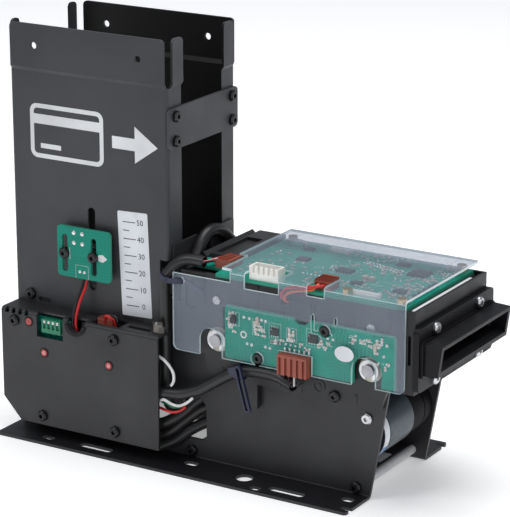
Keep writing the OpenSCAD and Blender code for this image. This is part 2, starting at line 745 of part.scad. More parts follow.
module clear_cover() {
    color([0.7, 0.8, 0.8, 0.35]) intersection() {
        yz_plate(-20, 140) translate([cover_y, cover_top]) mirror([0, 1])
            bend_profile(36.5 - cover_y, 60, cover_t, 2);
        union() {
            xz_plate(cover_y - 1, cover_t + 2.1) clear_front();
            xy_plate(cover_top - cover_t - 1.1, 3) clear_top();
        }
    }
}

module main_board() {
    color(green) xy_plate(read_top, board_t) difference() {
        union() {
            round_rect(8.8, board_front, 110.4, 34.5, 1);
            round_rect(-8, -25.5, 12, -13, 1);
        }
    }
}

// Open-topped five-way header with slots in its front wall.
module power_connector() {
    color([0.9, 0.88, 0.78]) translate([27.2, -33, board_top]) difference() {
        cube([15.6, 6.6, 6.6]);
        translate([1, 1, 1.4]) cube([13.6, 4.6, 8]);
        for (i = [0 : 4]) translate([1.7 + 2.75 * i, -1, 3]) cube([1.2, 3, 8]);
    }
}

// Five-way plug housing: a body with ribs on its upper face and wire holes in one side.
module plug(w, d, h) {
    difference() {
        cube([w, d, h]);
        for (i = [0 : 4]) translate([w * (i + 0.5) / 5 - 0.7, -e, h - 1]) cube([1.4, d - 1.2, 2]);
        for (i = [0 : 4]) translate([w * (i + 0.5) / 5 - 0.6, -1, h * 0.35]) cube([1.2, 3, 1.6]);
    }
}

module brown_connectors() {
    color(brown) {
        translate([4, -14, board_top]) rotate([0, 0, -90]) plug(11.5, 8, 4.2);
        translate([61.4, -31.2, board_top]) plug(8, 8.6, 5.4);
        // the plug on the sensor board hangs with its wire side down
        translate([47, side_board_y, 57.7]) rotate([90, 0, 0]) plug(15.6, 9.8, 5.8);
    }
}

module sensor_outline() {
    difference() {
        polygon([[15, 59.4], [16, 58.6], [105.3, 58.6], [106.3, 59.6], [106.3, 83.6], [105.3, 84.6], [61, 84.6],
            [58.6, 81.8], [54.6, 81.8], [52, 84.6], [16, 84.6], [15, 83.6]]);
        translate([exit_x, shaft_z]) circle(7.4);
        translate([exit_x - 7.4, 50]) square([14.8, shaft_z - 50]);
        translate([46.4, 50]) square([16.8, 7.2]);
        for (p = side_screws) translate(p) circle(screw_r);
    }
}

module sensor_board() {
    color(green) xz_plate(side_board_y, board_t) sensor_outline();
}

module read_head() {
    color(steel) {
        block([42, 8, 68.5], [62, 20, deck_low]);
        difference() {
            block([46.5, 10.5, deck_low], [57.5, 17.5, 74]);
            block([51.6, 10, 73.2], [52.4, 18, 75]);
        }
        difference() {
            bar_y(52, 72, 10.5, 17.5, 3.9);
            block([40, 9, 60], [60, 19, 74]);
        }
    }
}

module contact_block() {
    color([0.85, 0.83, 0.75]) difference() {
        union() {
            block([49, -12, roof_low + 2.5], [75, 8, 82]);
            block([52.5, -9.5, 78], [71.5, 5.5, roof_low + 2.6]);
            block([55, -7, 82], [69, 3, 88]);
        }
        for (i = [0 : 3]) block([55 + 4 * i, -8, 77.5], [56.6 + 4 * i, 4, 78.6]);
    }
}

// ---------- transport ----------

module bushing(x, z, y_in, y_out, flange_r, flange_y0, flange_y1) {
    difference() {
        union() {
            bar_y(x, z, y_in, y_out, 4.5 - e);
            bar_y(x, z, flange_y0, flange_y1, flange_r);
        }
        bar_y(x, z, -50, 50, shaft_r + gap);
    }
}

module bushings() {
    color([0.8, 0.78, 0.7]) {
        for (x = [entry_x, exit_x]) {
            bushing(x, shaft_z, -read_out + 0.9, -read_out + read_wall, 6, -read_out, -read_out + 0.9);
            bushing(x, shaft_z, read_out - read_wall, read_out - 0.9, 6, read_out - 0.9, read_out);
        }
        bushing(feed_x, shaft_z, -plate_out, -plate_in, 6, -plate_in, -plate_in + 1);
        bushing(feed_x, shaft_z, plate_in, plate_out, 6, plate_in - 1, plate_in);
    }
}

// Shaft with a groove for a clip at each given place.
module grooved_shaft(x, z, y0, y1, r, grooves) {
    difference() {
        bar_y(x, z, y0, y1, r);
        for (y = grooves) ring_y(x, z, y, y + 0.8, r + 1, r - 0.5);
    }
}

// Open clip that sits in a shaft's groove.
module clip(x, z, y, r) {
    translate([x, y + 0.75, z]) rotate([90, 0, 0]) linear_extrude(height = 0.7) difference() {
        circle(r + 2);
        circle(r - 0.49);
        translate([-1.7, -r - 3]) square([3.4, r + 3]);
        for (a = [20, 160]) rotate(a) translate([r, 0]) circle(0.7);
    }
}

module roller_pair(x, z, r, bore) {
    for (s = [-1, 1]) difference() {
        union() {
            bar_y(x, z, s * roller_y - roller_w / 2, s * roller_y + roller_w / 2, r);
            bar_y(x, z, s * roller_y - roller_w / 2 - 0.8, s * roller_y + roller_w / 2 + 0.8, bore + 2);
        }
        bar_y(x, z, s * roller_y - 9, s * roller_y + 9, bore);
    }
}

// Flanged pulley with one or two belt seats.
module pulley(x, z, r, bore, y0, seats) {
    seat = belt_w + 1;
    rim = 0.6;
    difference() {
        union() {
            bar_y(x, z, y0, y0 + seats * seat + rim, r);
            for (i = [0 : seats]) bar_y(x, z, y0 + i * seat, y0 + i * seat + rim, r + 2);
            bar_y(x, z, y0 + seats * seat + rim, y0 + seats * seat + rim + 1.4, bore + 2.2);
        }
        bar_y(x, z, y0 - 1, y0 + 20, bore);
    }
}

seat_1 = plane_1 - 0.8;  // inner edge of a pulley in the first belt plane
seat_2 = plane_2 - 0.8;

module feed_shaft() {
    color(steel) bar_y(feed_x, shaft_z, -plate_out + 0.3, 43.4, shaft_r);
}

module feed_rollers() {
    color(grey) roller_pair(feed_x, shaft_z, roller_r, shaft_r);
}

module feed_pulley() {
    color(black) pulley(feed_x, shaft_z, pulley_r, shaft_r, seat_2, 1);
}

module entry_shaft() {
    color(steel) grooved_shaft(entry_x, shaft_z, -35.4, 44, shaft_r, [-34, 42.9]);
}

module entry_rollers() {
    color(grey) roller_pair(entry_x, shaft_z, roller_r, shaft_r);
}

module entry_pulley() {
    color(black) pulley(entry_x, shaft_z, pulley_r, shaft_r, seat_1, 2);
}

module entry_clips() {
    color(steel) for (y = [-34, 42.9]) clip(entry_x, shaft_z, y, shaft_r);
}

module exit_shaft() {
    color(steel) grooved_shaft(exit_x, shaft_z, -35.4, 44, shaft_r, [-34, 42.9]);
}

module exit_rollers() {
    color(grey) roller_pair(exit_x, shaft_z, roller_r, shaft_r);
}

module exit_pulley() {
    color(black) pulley(exit_x, shaft_z, pulley_r, shaft_r, seat_1, 2);
}

module exit_clips() {
    color(steel) for (y = [-34, 42.9]) clip(exit_x, shaft_z, y, shaft_r);
}

module entry_pinch_shaft() {
    color(steel) bar_y(entry_x, pinch_z, -33.8, 33, pinch_r);
}

module entry_pinch_rollers() {
    color(grey) roller_pair(entry_x, pinch_z, roller_r, pinch_r);
}

module exit_pinch_shaft() {
    color(steel) bar_y(exit_x, pinch_z, -32.6, 33, pinch_r);
}

module exit_pinch_rollers() {
    color(grey) roller_pair(exit_x, pinch_z, roller_r, pinch_r);
}

motor_seam = 7;

module motor_can() {
    can_front = -22;
    color([0.8, 0.82, 0.84]) {
        difference() {
            bar_y(motor_x, motor_z, can_front, motor_seam, motor_r);
            // groove behind the front band, and two vents in the front
            ring_y(motor_x, motor_z, -16.8, -16.1, motor_r + 1, motor_r - 0.6);
            for (a = [45, 225]) translate([motor_x, can_front - 1, motor_z]) rotate([-90, a, 0])
                translate([motor_r * 0.62, 0, 0]) cylinder(h = 2, r = 2.2);
        }
        bar_y(motor_x, motor_z, can_front - 2, can_front, 5);
        for (s = [-1, 1]) block([motor_x + 9 * s - 1.5, can_front - 2.6, motor_z - 0.4],
            [motor_x + 9 * s + 1.5, can_front, motor_z + 0.4]);
    }
}

module motor_gearbox() {
    color([0.5, 0.53, 0.56]) difference() {
        union() {
            bar_y(motor_x, motor_z, motor_seam, plate_in, motor_r - 0.6);
            bar_y(motor_x, motor_z, plate_in, plate_out + 1.4, 6);
        }
        bar_y(motor_x, motor_z, 9, 40, 3 + gap);
        ring_y(motor_x, motor_z, 19, 19.8, motor_r + 1, motor_r - 1.1);
    }
}

module motor_shaft() {
    color(steel) bar_y(motor_x, motor_z, 9.6, 43, 3);
}

module motor_pulley() {
    color(black) pulley(motor_x, motor_z, motor_pulley_r, 3, seat_2, 1);
}

module drive_belts() {
    feed = [feed_x, shaft_z];
    entry = [entry_x, shaft_z];
    exit = [exit_x, shaft_z];
    color(dark) {
        belt(exit, pulley_r, [motor_x, motor_z], motor_pulley_r, plane_2);
        belt(exit, pulley_r, entry, pulley_r, plane_1);
        belt(entry, pulley_r, feed, pulley_r, plane_2);
    }
}

// ---------- harness ----------

module harness_sleeves() {
    color(dark) {
        tube(upper_route, 2.8, 12);
        tube(lower_route, 2.8, 12);
        tube(arch_route, 2.8, 12);
    }
}

module harness_wires() {
    color("white") for (p = loose_routes) tube(p, 0.7, 8);
}

module strap(p) {
    for (i = [0 : len(p) - 2]) hull() for (q = [p[i], p[i + 1]]) translate(q) cube([0.7, 0.7, 2.4], center = true);
}

module zip_tie() {
    color([0.1, 0.12, 0.2]) {
        translate([22, -35.9, 52.1]) rotate([0, -20.6, 0]) {
            difference() {
                rotate([0, 90, 0]) cylinder(h = 3.6, r = 3.8);
                translate([-1, 0, 0]) rotate([0, 90, 0]) cylinder(h = 8, r = 3.1);
            }
            translate([-0.4, -5.6, 0]) cube([4.4, 2.4, 4]);
        }
        // its free end, folded back into a long loop
        translate([25.1, 0, 57.7]) rotate([0, -15.6, 0]) xz_plate(-41.4, 1.6) difference() {
            slot_y(0, -11.5, 23, 3.3);
            slot_y(0, -11.5, 21.2, 1.7);
        }
        // the tie that holds the upper sleeve to the clear cover
        translate([-19.6, -32.1, 90.6]) rotate([0, 19, 0]) difference() {
            cylinder(h = 2.6, r = 3.7);
            translate([0, 0, -1]) cylinder(h = 5, r = 3.1);
        }
        strap([[-17.6, -35, 92], [-13.6, -38.4, 92.5], [-9.4, -38.5, 93], [-7, -35.7, 93], [3, -34.6, 87.8]]);
    }
}

side_plate_front();
side_plate_rear();
spacer_rods();
cross_plate();
hopper_front();
hopper_rear();
hopper_tie_plate();
throat_plate();
hopper_floor();
m3_screws();
silver_screws();
standoffs();
control_box();
control_board();
header_block();
status_leds();
cable_grommet();
earth_stud();
reader_lower_housing();
reader_upper_housing();
entry_cover();
end_plate();
mouth_bezel();
clear_cover();
main_board();
power_connector();
brown_connectors();
sensor_board();
read_head();
contact_block();
bushings();
motor_can();
motor_gearbox();
drive_belts();
harness_sleeves();
harness_wires();
zip_tie();
low_card_wires();
low_card_board();
low_card_sensor();
feed_shaft();
feed_rollers();
feed_pulley();
entry_shaft();
entry_rollers();
entry_pulley();
entry_clips();
exit_shaft();
exit_rollers();
exit_pulley();
exit_clips();
entry_pinch_shaft();
entry_pinch_rollers();
exit_pinch_shaft();
exit_pinch_rollers();
motor_shaft();
motor_pulley();
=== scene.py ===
"""The looks of a motorised card dispenser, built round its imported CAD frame.

Lengths are written in millimetres in the row frame and turned into metres by MM.
"""
import math
import random

import bmesh
import bpy
from mathutils import Matrix, Vector


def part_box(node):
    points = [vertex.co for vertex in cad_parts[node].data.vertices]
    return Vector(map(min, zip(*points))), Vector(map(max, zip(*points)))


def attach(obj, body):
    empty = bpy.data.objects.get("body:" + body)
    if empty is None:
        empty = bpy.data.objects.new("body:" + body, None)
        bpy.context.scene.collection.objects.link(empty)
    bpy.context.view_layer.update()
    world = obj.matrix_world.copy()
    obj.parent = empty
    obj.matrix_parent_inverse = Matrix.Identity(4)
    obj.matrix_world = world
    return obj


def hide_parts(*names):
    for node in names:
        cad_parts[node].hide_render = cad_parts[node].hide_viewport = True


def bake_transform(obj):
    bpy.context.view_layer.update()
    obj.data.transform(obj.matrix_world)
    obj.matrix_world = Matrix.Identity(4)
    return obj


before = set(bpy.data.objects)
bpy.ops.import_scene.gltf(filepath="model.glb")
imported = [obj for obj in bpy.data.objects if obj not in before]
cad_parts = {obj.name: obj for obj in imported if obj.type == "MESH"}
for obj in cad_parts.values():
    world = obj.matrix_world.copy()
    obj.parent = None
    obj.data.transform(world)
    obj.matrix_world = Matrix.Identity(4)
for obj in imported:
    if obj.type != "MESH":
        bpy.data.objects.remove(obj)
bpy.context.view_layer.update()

MM = 0.001
FRAME_BODY = "frame"
SLIDER = "low_card_slider"
rng = random.Random(7)


def low(node):
    """Lowest corner of a CAD node, in millimetres."""
    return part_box(node)[0] / MM


def high(node):
    """Highest corner of a CAD node, in millimetres."""
    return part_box(node)[1] / MM


# ---------- camera, light and floor ----------

CAMERA_PLACE = (580.0, -939.5, 434.0)
CAMERA_AZIMUTH = 31.23
CAMERA_ELEVATION = 17.04
CAMERA_LENS = 166.6


def aim(obj, back):
    """Turns an object so that its local -Z looks along -back, with its X level."""
    back = Vector(back).normalized()
    right = Vector((0, 0, 1)).cross(back).normalized()
    up = back.cross(right)
    turn = Matrix((right, up, back)).transposed()
    obj.matrix_world = Matrix.Translation(obj.location) @ turn.to_4x4()


def make_camera():
    data = bpy.data.cameras.new("camera")
    data.lens = CAMERA_LENS
    data.sensor_width = 36
    data.clip_end = 20
    cam = bpy.data.objects.new("camera", data)
    bpy.context.scene.collection.objects.link(cam)
    cam.location = Vector(CAMERA_PLACE) * MM
    az, el = math.radians(CAMERA_AZIMUTH), math.radians(CAMERA_ELEVATION)
    aim(cam, (math.sin(az) * math.cos(el), -math.cos(az) * math.cos(el), math.sin(el)))
    bpy.context.scene.camera = cam


def soft_box(name, place, size, power):
    """A square area light at a place in metres, aimed at the middle of the object."""
    data = bpy.data.lights.new(name, "AREA")
    data.size = size
    data.energy = power
    lamp = bpy.data.objects.new(name, data)
    bpy.context.scene.collection.objects.link(lamp)
    lamp.location = place
    aim(lamp, Vector(place) - Vector((0, 0, 0.09)))


def make_studio():
    world = bpy.data.worlds.new("studio")
    bpy.context.scene.world = world
    world.use_nodes = True
    nodes, links = world.node_tree.nodes, world.node_tree.links
    sky, seen = nodes["Background"], nodes.new("ShaderNodeBackground")
    sky.inputs["Color"].default_value = (0.88, 0.92, 1, 1)
    sky.inputs["Strength"].default_value = 0.32
    seen.inputs["Color"].default_value = (1, 1, 1, 1)
    pick, ray = nodes.new("ShaderNodeMixShader"), nodes.new("ShaderNodeLightPath")
    links.new(ray.outputs["Is Camera Ray"], pick.inputs[0])
    links.new(sky.outputs[0], pick.inputs[1])
    links.new(seen.outputs[0], pick.inputs[2])
    links.new(pick.outputs[0], nodes["World Output"].inputs["Surface"])
    soft_box("key", (-0.9, -1.2, 1.5), 0.8, 7.2)
    soft_box("fill", (1.5, -0.5, 0.9), 0.9, 4)
    soft_box("top", (0.0, 0.2, 1.5), 1.2, 16)
    floor = solids()
    floor.box((-2500, -2500, -3), (2500, 2500, 0))
    floor.piece("floor", PALE, None, body=None)
    bpy.context.scene.view_settings.view_transform = "Standard"


# ---------- materials ----------

def shader(name, colour, roughness, **sockets):
    """A new material. Values that are the same all over are set on the shader's own sockets."""
    mat = bpy.data.materials.new(name)
    mat.use_nodes = True
    main = mat.node_tree.nodes["Principled BSDF"]
    main.inputs["Base Color"].default_value = (*colour, 1)
    main.inputs["Roughness"].default_value = roughness
    for key, value in sockets.items():
        main.inputs[key.replace("_", " ")].default_value = value
    return mat


def add(mat, kind, **values):
    """A node with its settings and input values. A socket given as a value is linked."""
    node = mat.node_tree.nodes.new("ShaderNode" + kind)
    for key, value in values.items():
        if hasattr(node, key):
            setattr(node, key, value)
            continue
        index = int(key[1:]) if key[0] == "i" and key[1:].isdigit() else key.replace("_", " ")
        if isinstance(value, bpy.types.NodeSocket):
            mat.node_tree.links.new(value, node.inputs[index])
        else:
            node.inputs[index].default_value = value
    return node


def plug_in(mat, socket, value):
    main = mat.node_tree.nodes["Principled BSDF"]
    mat.node_tree.links.new(value, main.inputs[socket])


def colour_of(mat):
    """The socket that feeds a material's colour."""
    return mat.node_tree.nodes["Principled BSDF"].inputs["Base Color"].links[0].from_socket


def calc(mat, operation, *values):
    """Result of a Math node. Each value is a number or a socket."""
    return add(mat, "Math", operation=operation, **{f"i{k}": value for k, value in enumerate(values)}).outputs[0]


def split(mat, vector):
    """The X, Y and Z outputs of a vector."""
    return add(mat, "SeparateXYZ", Vector=vector).outputs


def place_of(mat):
    return add(mat, "TexCoord").outputs["Object"]


def normal_of(mat):
    return add(mat, "NewGeometry").outputs["Normal"]


def noise(mat, scale, detail=3.0, stretch=None):
    """Noise over the object's own coordinates, stretched along an axis if asked."""
    vector = place_of(mat)
    if stretch:
        vector = add(mat, "Mapping", Vector=vector, Scale=stretch).outputs["Vector"]
    return add(mat, "TexNoise", Vector=vector, Scale=scale, Detail=detail).outputs["Fac"]


def ramp(mat, fac, low_value, high_value, low_out, high_out):
    """Maps a range of fac to a range of numbers."""
    return add(mat, "MapRange", Value=fac, i1=low_value, i2=high_value, i3=low_out, i4=high_out).outputs["Result"]


def mix(mat, fac, a, b):
    """Mixes two colours, each an RGB triple or a socket."""
    node = add(mat, "Mix", data_type="RGBA")
    for socket, value in ((node.inputs[0], fac), (node.inputs[6], a), (node.inputs[7], b)):
        if isinstance(value, bpy.types.NodeSocket):
            mat.node_tree.links.new(value, socket)
        elif isinstance(value, (int, float)):
            socket.default_value = value
        else:
            socket.default_value = (*value, 1)
    return node.outputs[2]


def bump(mat, height, strength, depth):
    """Bump of a depth in millimetres."""
    node = add(mat, "Bump", Height=height, Strength=strength, Distance=depth * MM)
    plug_in(mat, "Normal", node.outputs["Normal"])


def mottle(mat, dark, light, scale, detail=3.0):
    plug_in(mat, "Base Color", mix(mat, ramp(mat, noise(mat, scale, detail), 0.35, 0.65, 0, 1), dark, light))


def vary_roughness(mat, scale, lowest, highest):
    plug_in(mat, "Roughness", ramp(mat, noise(mat, scale, 4), 0.3, 0.7, lowest, highest))


def normal_part(mat, axis):
    """Size of the surface normal's part along X, Y or Z."""
    return calc(mat, "ABSOLUTE", split(mat, normal_of(mat))[axis])


def powder_coat(name, dark, light, roughness):
    """Powder coat over sheet metal: fine orange peel, soft patches and a little dust."""
    mat = shader(name, light, roughness, Specular_IOR_Level=0.45)
    mottle(mat, dark, light, 22, 5)
    vary_roughness(mat, 60, roughness - 0.05, roughness + 0.07)
    bump(mat, noise(mat, 1400, 2), 0.35, 0.05)
    return mat


BLACK_PAINT = ((0.018, 0.018, 0.02), (0.03, 0.03, 0.033), 0.42)       # darkest, lightest, roughness
HOPPER_PAINT = ((0.034, 0.035, 0.039), (0.046, 0.047, 0.052), 0.48)


def plate_paint():
    """Black powder coat, a little worn, with painted shade: faces that look up or down, such as the feet, are darker
    than the upright sides.
    """
    mat = powder_coat("plate_coat", *BLACK_PAINT)
    # Painted shade: darker colour where the face looks up or down.
    flat = ramp(mat, normal_part(mat, "Z"), 0.5, 0.8, 0, 1)
    plug_in(mat, "Base Color", mix(mat, flat, colour_of(mat), (0.009, 0.009, 0.012)))
    return mat


def hopper_paint(name, inner_sign):
    """Grey powder coat outside, with painted shade on the faces that look inwards along Y: darker colour and a weaker
    specular there.
    """
    mat = powder_coat(name, *HOPPER_PAINT)
    # Painted shade inside the hopper: the inward faces get a darker colour and a weaker specular.
    inner = ramp(mat, calc(mat, "MULTIPLY", split(mat, normal_of(mat))["Y"], inner_sign), 0.3, 0.6, 0, 1)
    plug_in(mat, "Base Color", mix(mat, inner, colour_of(mat), (0.007, 0.007, 0.0075)))
    plug_in(mat, "Specular IOR Level", ramp(mat, inner, 0, 1, 0.45, 0.2))
    return mat


def turned_steel(name, colour, roughness, metallic=1.0):
    """Bright steel with fine marks round the axis."""
    mat = shader(name, colour, roughness, Metallic=metallic)
    mottle(mat, [c * 0.86 for c in colour], colour, 160, 4)
    vary_roughness(mat, 400, roughness - 0.06, roughness + 0.08)
    bump(mat, noise(mat, 900, 3, (1, 9, 1)), 0.2, 0.02)
    return mat


def moulded(name, colour, roughness, grain=1800, depth=0.03, specular=0.5):
    """Moulded plastic with a fine eroded grain."""
    mat = shader(name, colour, roughness, Specular_IOR_Level=specular)
    mottle(mat, [c * 0.82 for c in colour], colour, 35, 4)
    vary_roughness(mat, 90, roughness - 0.04, roughness + 0.06)
    bump(mat, noise(mat, grain, 2), 0.3, depth)
    return mat


def rubber(name, colour):
    mat = shader(name, colour, 0.75, Specular_IOR_Level=0.3)
    mottle(mat, [c * 0.7 for c in colour], [c * 1.25 for c in colour], 260, 5)
    bump(mat, noise(mat, 1600, 4), 0.5, 0.05)
    return mat


def tracks(mat, along, across, pitch):
    """Stripes along one axis in patches: 1 on a track and 0 between tracks."""
    place = split(mat, place_of(mat))
    wobble = ramp(mat, noise(mat, 70, 1), 0, 1, -4 * MM, 4 * MM)
    step = calc(mat, "SNAP", place[along], 9 * MM)
    shift = calc(mat, "SINE", calc(mat, "MULTIPLY", step, 977.0))
    bent = calc(mat, "MULTIPLY_ADD", shift, 3 * MM, place[across])
    bent = calc(mat, "MULTIPLY_ADD", wobble, 0.15, bent)
    wave = calc(mat, "PINGPONG", bent, pitch * MM / 2)
    return ramp(mat, wave, pitch * MM * 0.16, pitch * MM * 0.22, 0, 1)


def circuit_board(name, face_axis, along, across, copper, mask):
    """Solder mask over copper tracks and pours, with the raw glass fibre on the cut edges."""
    mat = shader(name, mask, 0.4, Specular_IOR_Level=0.22)
    lines = mix(mat, ramp(mat, noise(mat, 38, 0), 0.47, 0.53, 0, 1),
                add(mat, "CombineColor", Red=tracks(mat, along, across, 1.5)).outputs[0],
                add(mat, "CombineColor", Red=tracks(mat, across, along, 1.9)).outputs[0])
    lines = add(mat, "SeparateColor", Color=lines).outputs["Red"]
    pour = ramp(mat, noise(mat, 55, 0), 0.56, 0.58, 0, 1)
    metal = calc(mat, "MAXIMUM", lines, pour)
    face = mix(mat, metal, mask, copper)
    edge = ramp(mat, normal_part(mat, face_axis), 0.4, 0.6, 1, 0)
    plug_in(mat, "Base Color", mix(mat, edge, face, (0.03, 0.3, 0.2)))
    bump(mat, metal, 0.5, 0.03)
    return mat


def clear_sheet():
    """Clear plastic with a cold haze. Its cut edges carry a painted highlight: they are painted pale and made nearly
    opaque.
    """
    mat = shader("clear_sheet", (0.42, 0.46, 0.52), 0.12, Specular_IOR_Level=0.7, Coat_Weight=0.4)
    place = split(mat, place_of(mat))
    x, y, height = place["X"], place["Y"], place["Z"]
    sheet_top = high("clear_cover").z
    on_top = ramp(mat, height, (sheet_top - 1.9) * MM, (sheet_top - 1.7) * MM, 0, 1)
    across_front, across_top = normal_part(mat, "Y"), normal_part(mat, "Z")
    cut = ramp(mat, calc(mat, "MAXIMUM", across_front, across_top), 0.45, 0.7, 1, 0)
    top_edge_highlight = calc(mat, "MULTIPLY", on_top, ramp(mat, across_top, 0.2, 0.4, 1, 0))
    front_edge_highlight = calc(mat, "MULTIPLY", ramp(mat, on_top, 0, 1, 1, 0), ramp(mat, across_front, 0.2, 0.4, 1, 0))
    cut = calc(mat, "MAXIMUM", calc(mat, "MAXIMUM", cut, top_edge_highlight), front_edge_highlight)
    haze = mix(mat, noise(mat, 25, 4), (0.31, 0.37, 0.46), (0.38, 0.45, 0.56))
    # Painted highlight: the cut edges are coloured pale.
    plug_in(mat, "Base Color", mix(mat, cut, haze, (0.75, 0.88, 0.9)))
    alpha = ramp(mat, noise(mat, 18, 3), 0.3, 0.7, 0.19, 0.25)
    # The front lies close to the sensor board, and looks clearer there.
    board_lo, board_hi, fade = low("sensor_board") * MM, high("sensor_board") * MM, 0.5 * MM
    near = calc(mat, "MULTIPLY", ramp(mat, x, board_lo.x, board_lo.x + fade, 0, 1),
                ramp(mat, x, board_hi.x - fade, board_hi.x, 1, 0))
    near = calc(mat, "MULTIPLY", near, ramp(mat, height, board_hi.z - fade, board_hi.z, 1, 0))
    alpha = calc(mat, "MULTIPLY", alpha, ramp(mat, near, 0, 1, 1, 0.3))
    # The top is hazier towards its back edge.
    back = high("main_board").y * MM
    alpha = calc(mat, "ADD", alpha, ramp(mat, y, back - 17 * MM, back - 13 * MM, 0, 0.26))
    # The painted edge highlight is also made nearly opaque.
    plug_in(mat, "Alpha", calc(mat, "MAXIMUM", alpha, ramp(mat, cut, 0, 1, 0, 0.85)))
    vary_roughness(mat, 40, 0.08, 0.18)
    return mat


PALE = shader("pale_floor", (0.95, 0.95, 0.95), 0.9, Emission_Color=(1, 1, 1, 1), Emission_Strength=0.3)
BLACK_COAT = powder_coat("black_coat", *BLACK_PAINT)
PLATE_COAT = plate_paint()
HOPPER_FRONT = hopper_paint("hopper_front_coat", 1.0)
HOPPER_REAR = hopper_paint("hopper_rear_coat", -1.0)
HOPPER_COAT = powder_coat("hopper_coat", *HOPPER_PAINT)
STEEL = turned_steel("bright_steel", (0.66, 0.66, 0.68), 0.3)
END_STEEL = turned_steel("end_steel", (0.42, 0.42, 0.44), 0.4)
STUD_STEEL = turned_steel("stud_steel", (0.16, 0.15, 0.14), 0.34)
OXIDE = turned_steel("black_oxide", (0.05, 0.05, 0.052), 0.34)
BRASS = turned_steel("brass", (0.72, 0.52, 0.25), 0.3)
MOULDED_BLACK = moulded("moulded_black", (0.022, 0.022, 0.024), 0.46)
# Painted shade: a darker copy of the moulded black, with weaker specular, for the card mouth.
MOUTH_SHADED_BLACK = moulded("mouth_black_painted_shade", (0.006, 0.006, 0.008), 0.42, specular=0.22)
END_COAT = powder_coat("end_coat", (0.005, 0.005, 0.006), (0.009, 0.009, 0.011), 0.45)
GREEN_PLASTIC = moulded("green_plastic", (0.02, 0.24, 0.13), 0.42)
CREAM = moulded("cream_plastic", (0.95, 0.94, 0.89), 0.4)
BROWN = moulded("brown_plastic", (0.34, 0.075, 0.045), 0.38)
BUSHING = moulded("bushing_plastic", (0.62, 0.6, 0.52), 0.45)
NAVY = moulded("navy_tie", (0.016, 0.02, 0.055), 0.35, grain=700)
PULLEY = moulded("pulley_plastic", (0.03, 0.03, 0.032), 0.4)
LED_RED = shader("led_red", (0.35, 0.015, 0.012), 0.14, Coat_Weight=0.5)
# Painted highlight: pale pink for the bright centre of an LED.
LED_PAINTED_HIGHLIGHT = shader("led_tip", (0.75, 0.3, 0.3), 0.2)
ROLLER = rubber("roller_rubber", (0.09, 0.09, 0.1))
BELT = rubber("belt_rubber", (0.016, 0.016, 0.017))
GROMMET = rubber("grommet_rubber", (0.014, 0.014, 0.015))
SLEEVE = moulded("sleeve_black", (0.017, 0.017, 0.018), 0.36, grain=500, depth=0.06)
CAN = turned_steel("motor_can_metal", (0.06, 0.08, 0.095), 0.36, 0.5)
GEARBOX = moulded("gearbox_black", (0.003, 0.003, 0.004), 0.6, specular=0.12)
ZINC = turned_steel("dull_zinc", (0.62, 0.62, 0.63), 0.5, 0.2)
COPPER, MASK = (0.004, 0.33, 0.235), (0.003, 0.22, 0.155)
FAINT = (0.004, 0.25, 0.178)
FRONT_BOARD = circuit_board("board_front", "Y", "X", "Z", COPPER, MASK)
SMALL_BOARD = circuit_board("board_small", "Y", "X", "Z", FAINT, MASK)
TOP_BOARD = circuit_board("board_top", "Z", "X", "Y", COPPER, MASK)
CLEAR = clear_sheet()
SOLDER = turned_steel("solder", (0.82, 0.83, 0.84), 0.3)
WHITE_INK = moulded("white_ink", (0.82, 0.83, 0.84), 0.5, grain=900, depth=0.01)
BLACK_INK = moulded("black_ink", (0.02, 0.02, 0.022), 0.55, grain=900, depth=0.01)
LABEL = moulded("label_film", (0.8, 0.82, 0.86), 0.3, grain=600, depth=0.01)
CHIP = moulded("chip_black", (0.02, 0.02, 0.021), 0.38, grain=2600)
CERAMIC = moulded("ceramic", (0.6, 0.54, 0.46), 0.4, grain=2600)
BLUE_PATCH = moulded("motor_blue", (0.07, 0.2, 0.42), 0.35, grain=600, depth=0.01)

CAD_LOOKS = {
    PLATE_COAT: ["side_plate_front", "side_plate_rear"],
    BLACK_COAT: ["cross_plate", "throat_plate", "hopper_floor", "control_box"],
    END_COAT: ["end_plate"],
    MOUTH_SHADED_BLACK: ["mouth_bezel"],
    HOPPER_FRONT: ["hopper_front"],
    HOPPER_REAR: ["hopper_rear"],
    HOPPER_COAT: ["hopper_tie_plate"],
    ZINC: ["spacer_rods"],
    STEEL: ["silver_screws", "read_head", "motor_shaft", "feed_shaft", "entry_clips",
            "exit_clips", "entry_pinch_shaft", "exit_pinch_shaft"],
    END_STEEL: ["entry_shaft", "exit_shaft"],
    STUD_STEEL: ["earth_stud"],
    OXIDE: ["m3_screws"],
    BRASS: ["standoffs"],
    FRONT_BOARD: ["control_board", "sensor_board"],
    SMALL_BOARD: ["low_card_board"],
    TOP_BOARD: ["main_board"],
    GREEN_PLASTIC: ["header_block"],
    LED_RED: ["status_leds"],
    GROMMET: ["cable_grommet"],
    MOULDED_BLACK: ["reader_lower_housing", "reader_upper_housing", "entry_cover", "low_card_sensor"],
    CLEAR: ["clear_cover"],
    CREAM: ["power_connector", "contact_block"],
    BROWN: ["brown_connectors"],
    BUSHING: ["bushings"],
    CAN: ["motor_can"],
    GEARBOX: ["motor_gearbox"],
    BELT: ["drive_belts"],
    NAVY: ["zip_tie"],
    ROLLER: ["feed_rollers", "entry_rollers", "exit_rollers", "entry_pinch_rollers", "exit_pinch_rollers"],
    PULLEY: ["feed_pulley", "entry_pulley", "exit_pulley", "motor_pulley"],
}


# Edge rounding, in millimetres, of sheet metal and moulded nodes.
SOFT_EDGES = {
    0.25: ["side_plate_front", "side_plate_rear", "hopper_front", "hopper_rear", "hopper_tie_plate", "throat_plate",
           "control_box", "end_plate", "cross_plate"],
    0.3: ["mouth_bezel", "reader_lower_housing", "reader_upper_housing", "entry_cover"],
    0.15: ["power_connector", "brown_connectors", "header_block"],
}


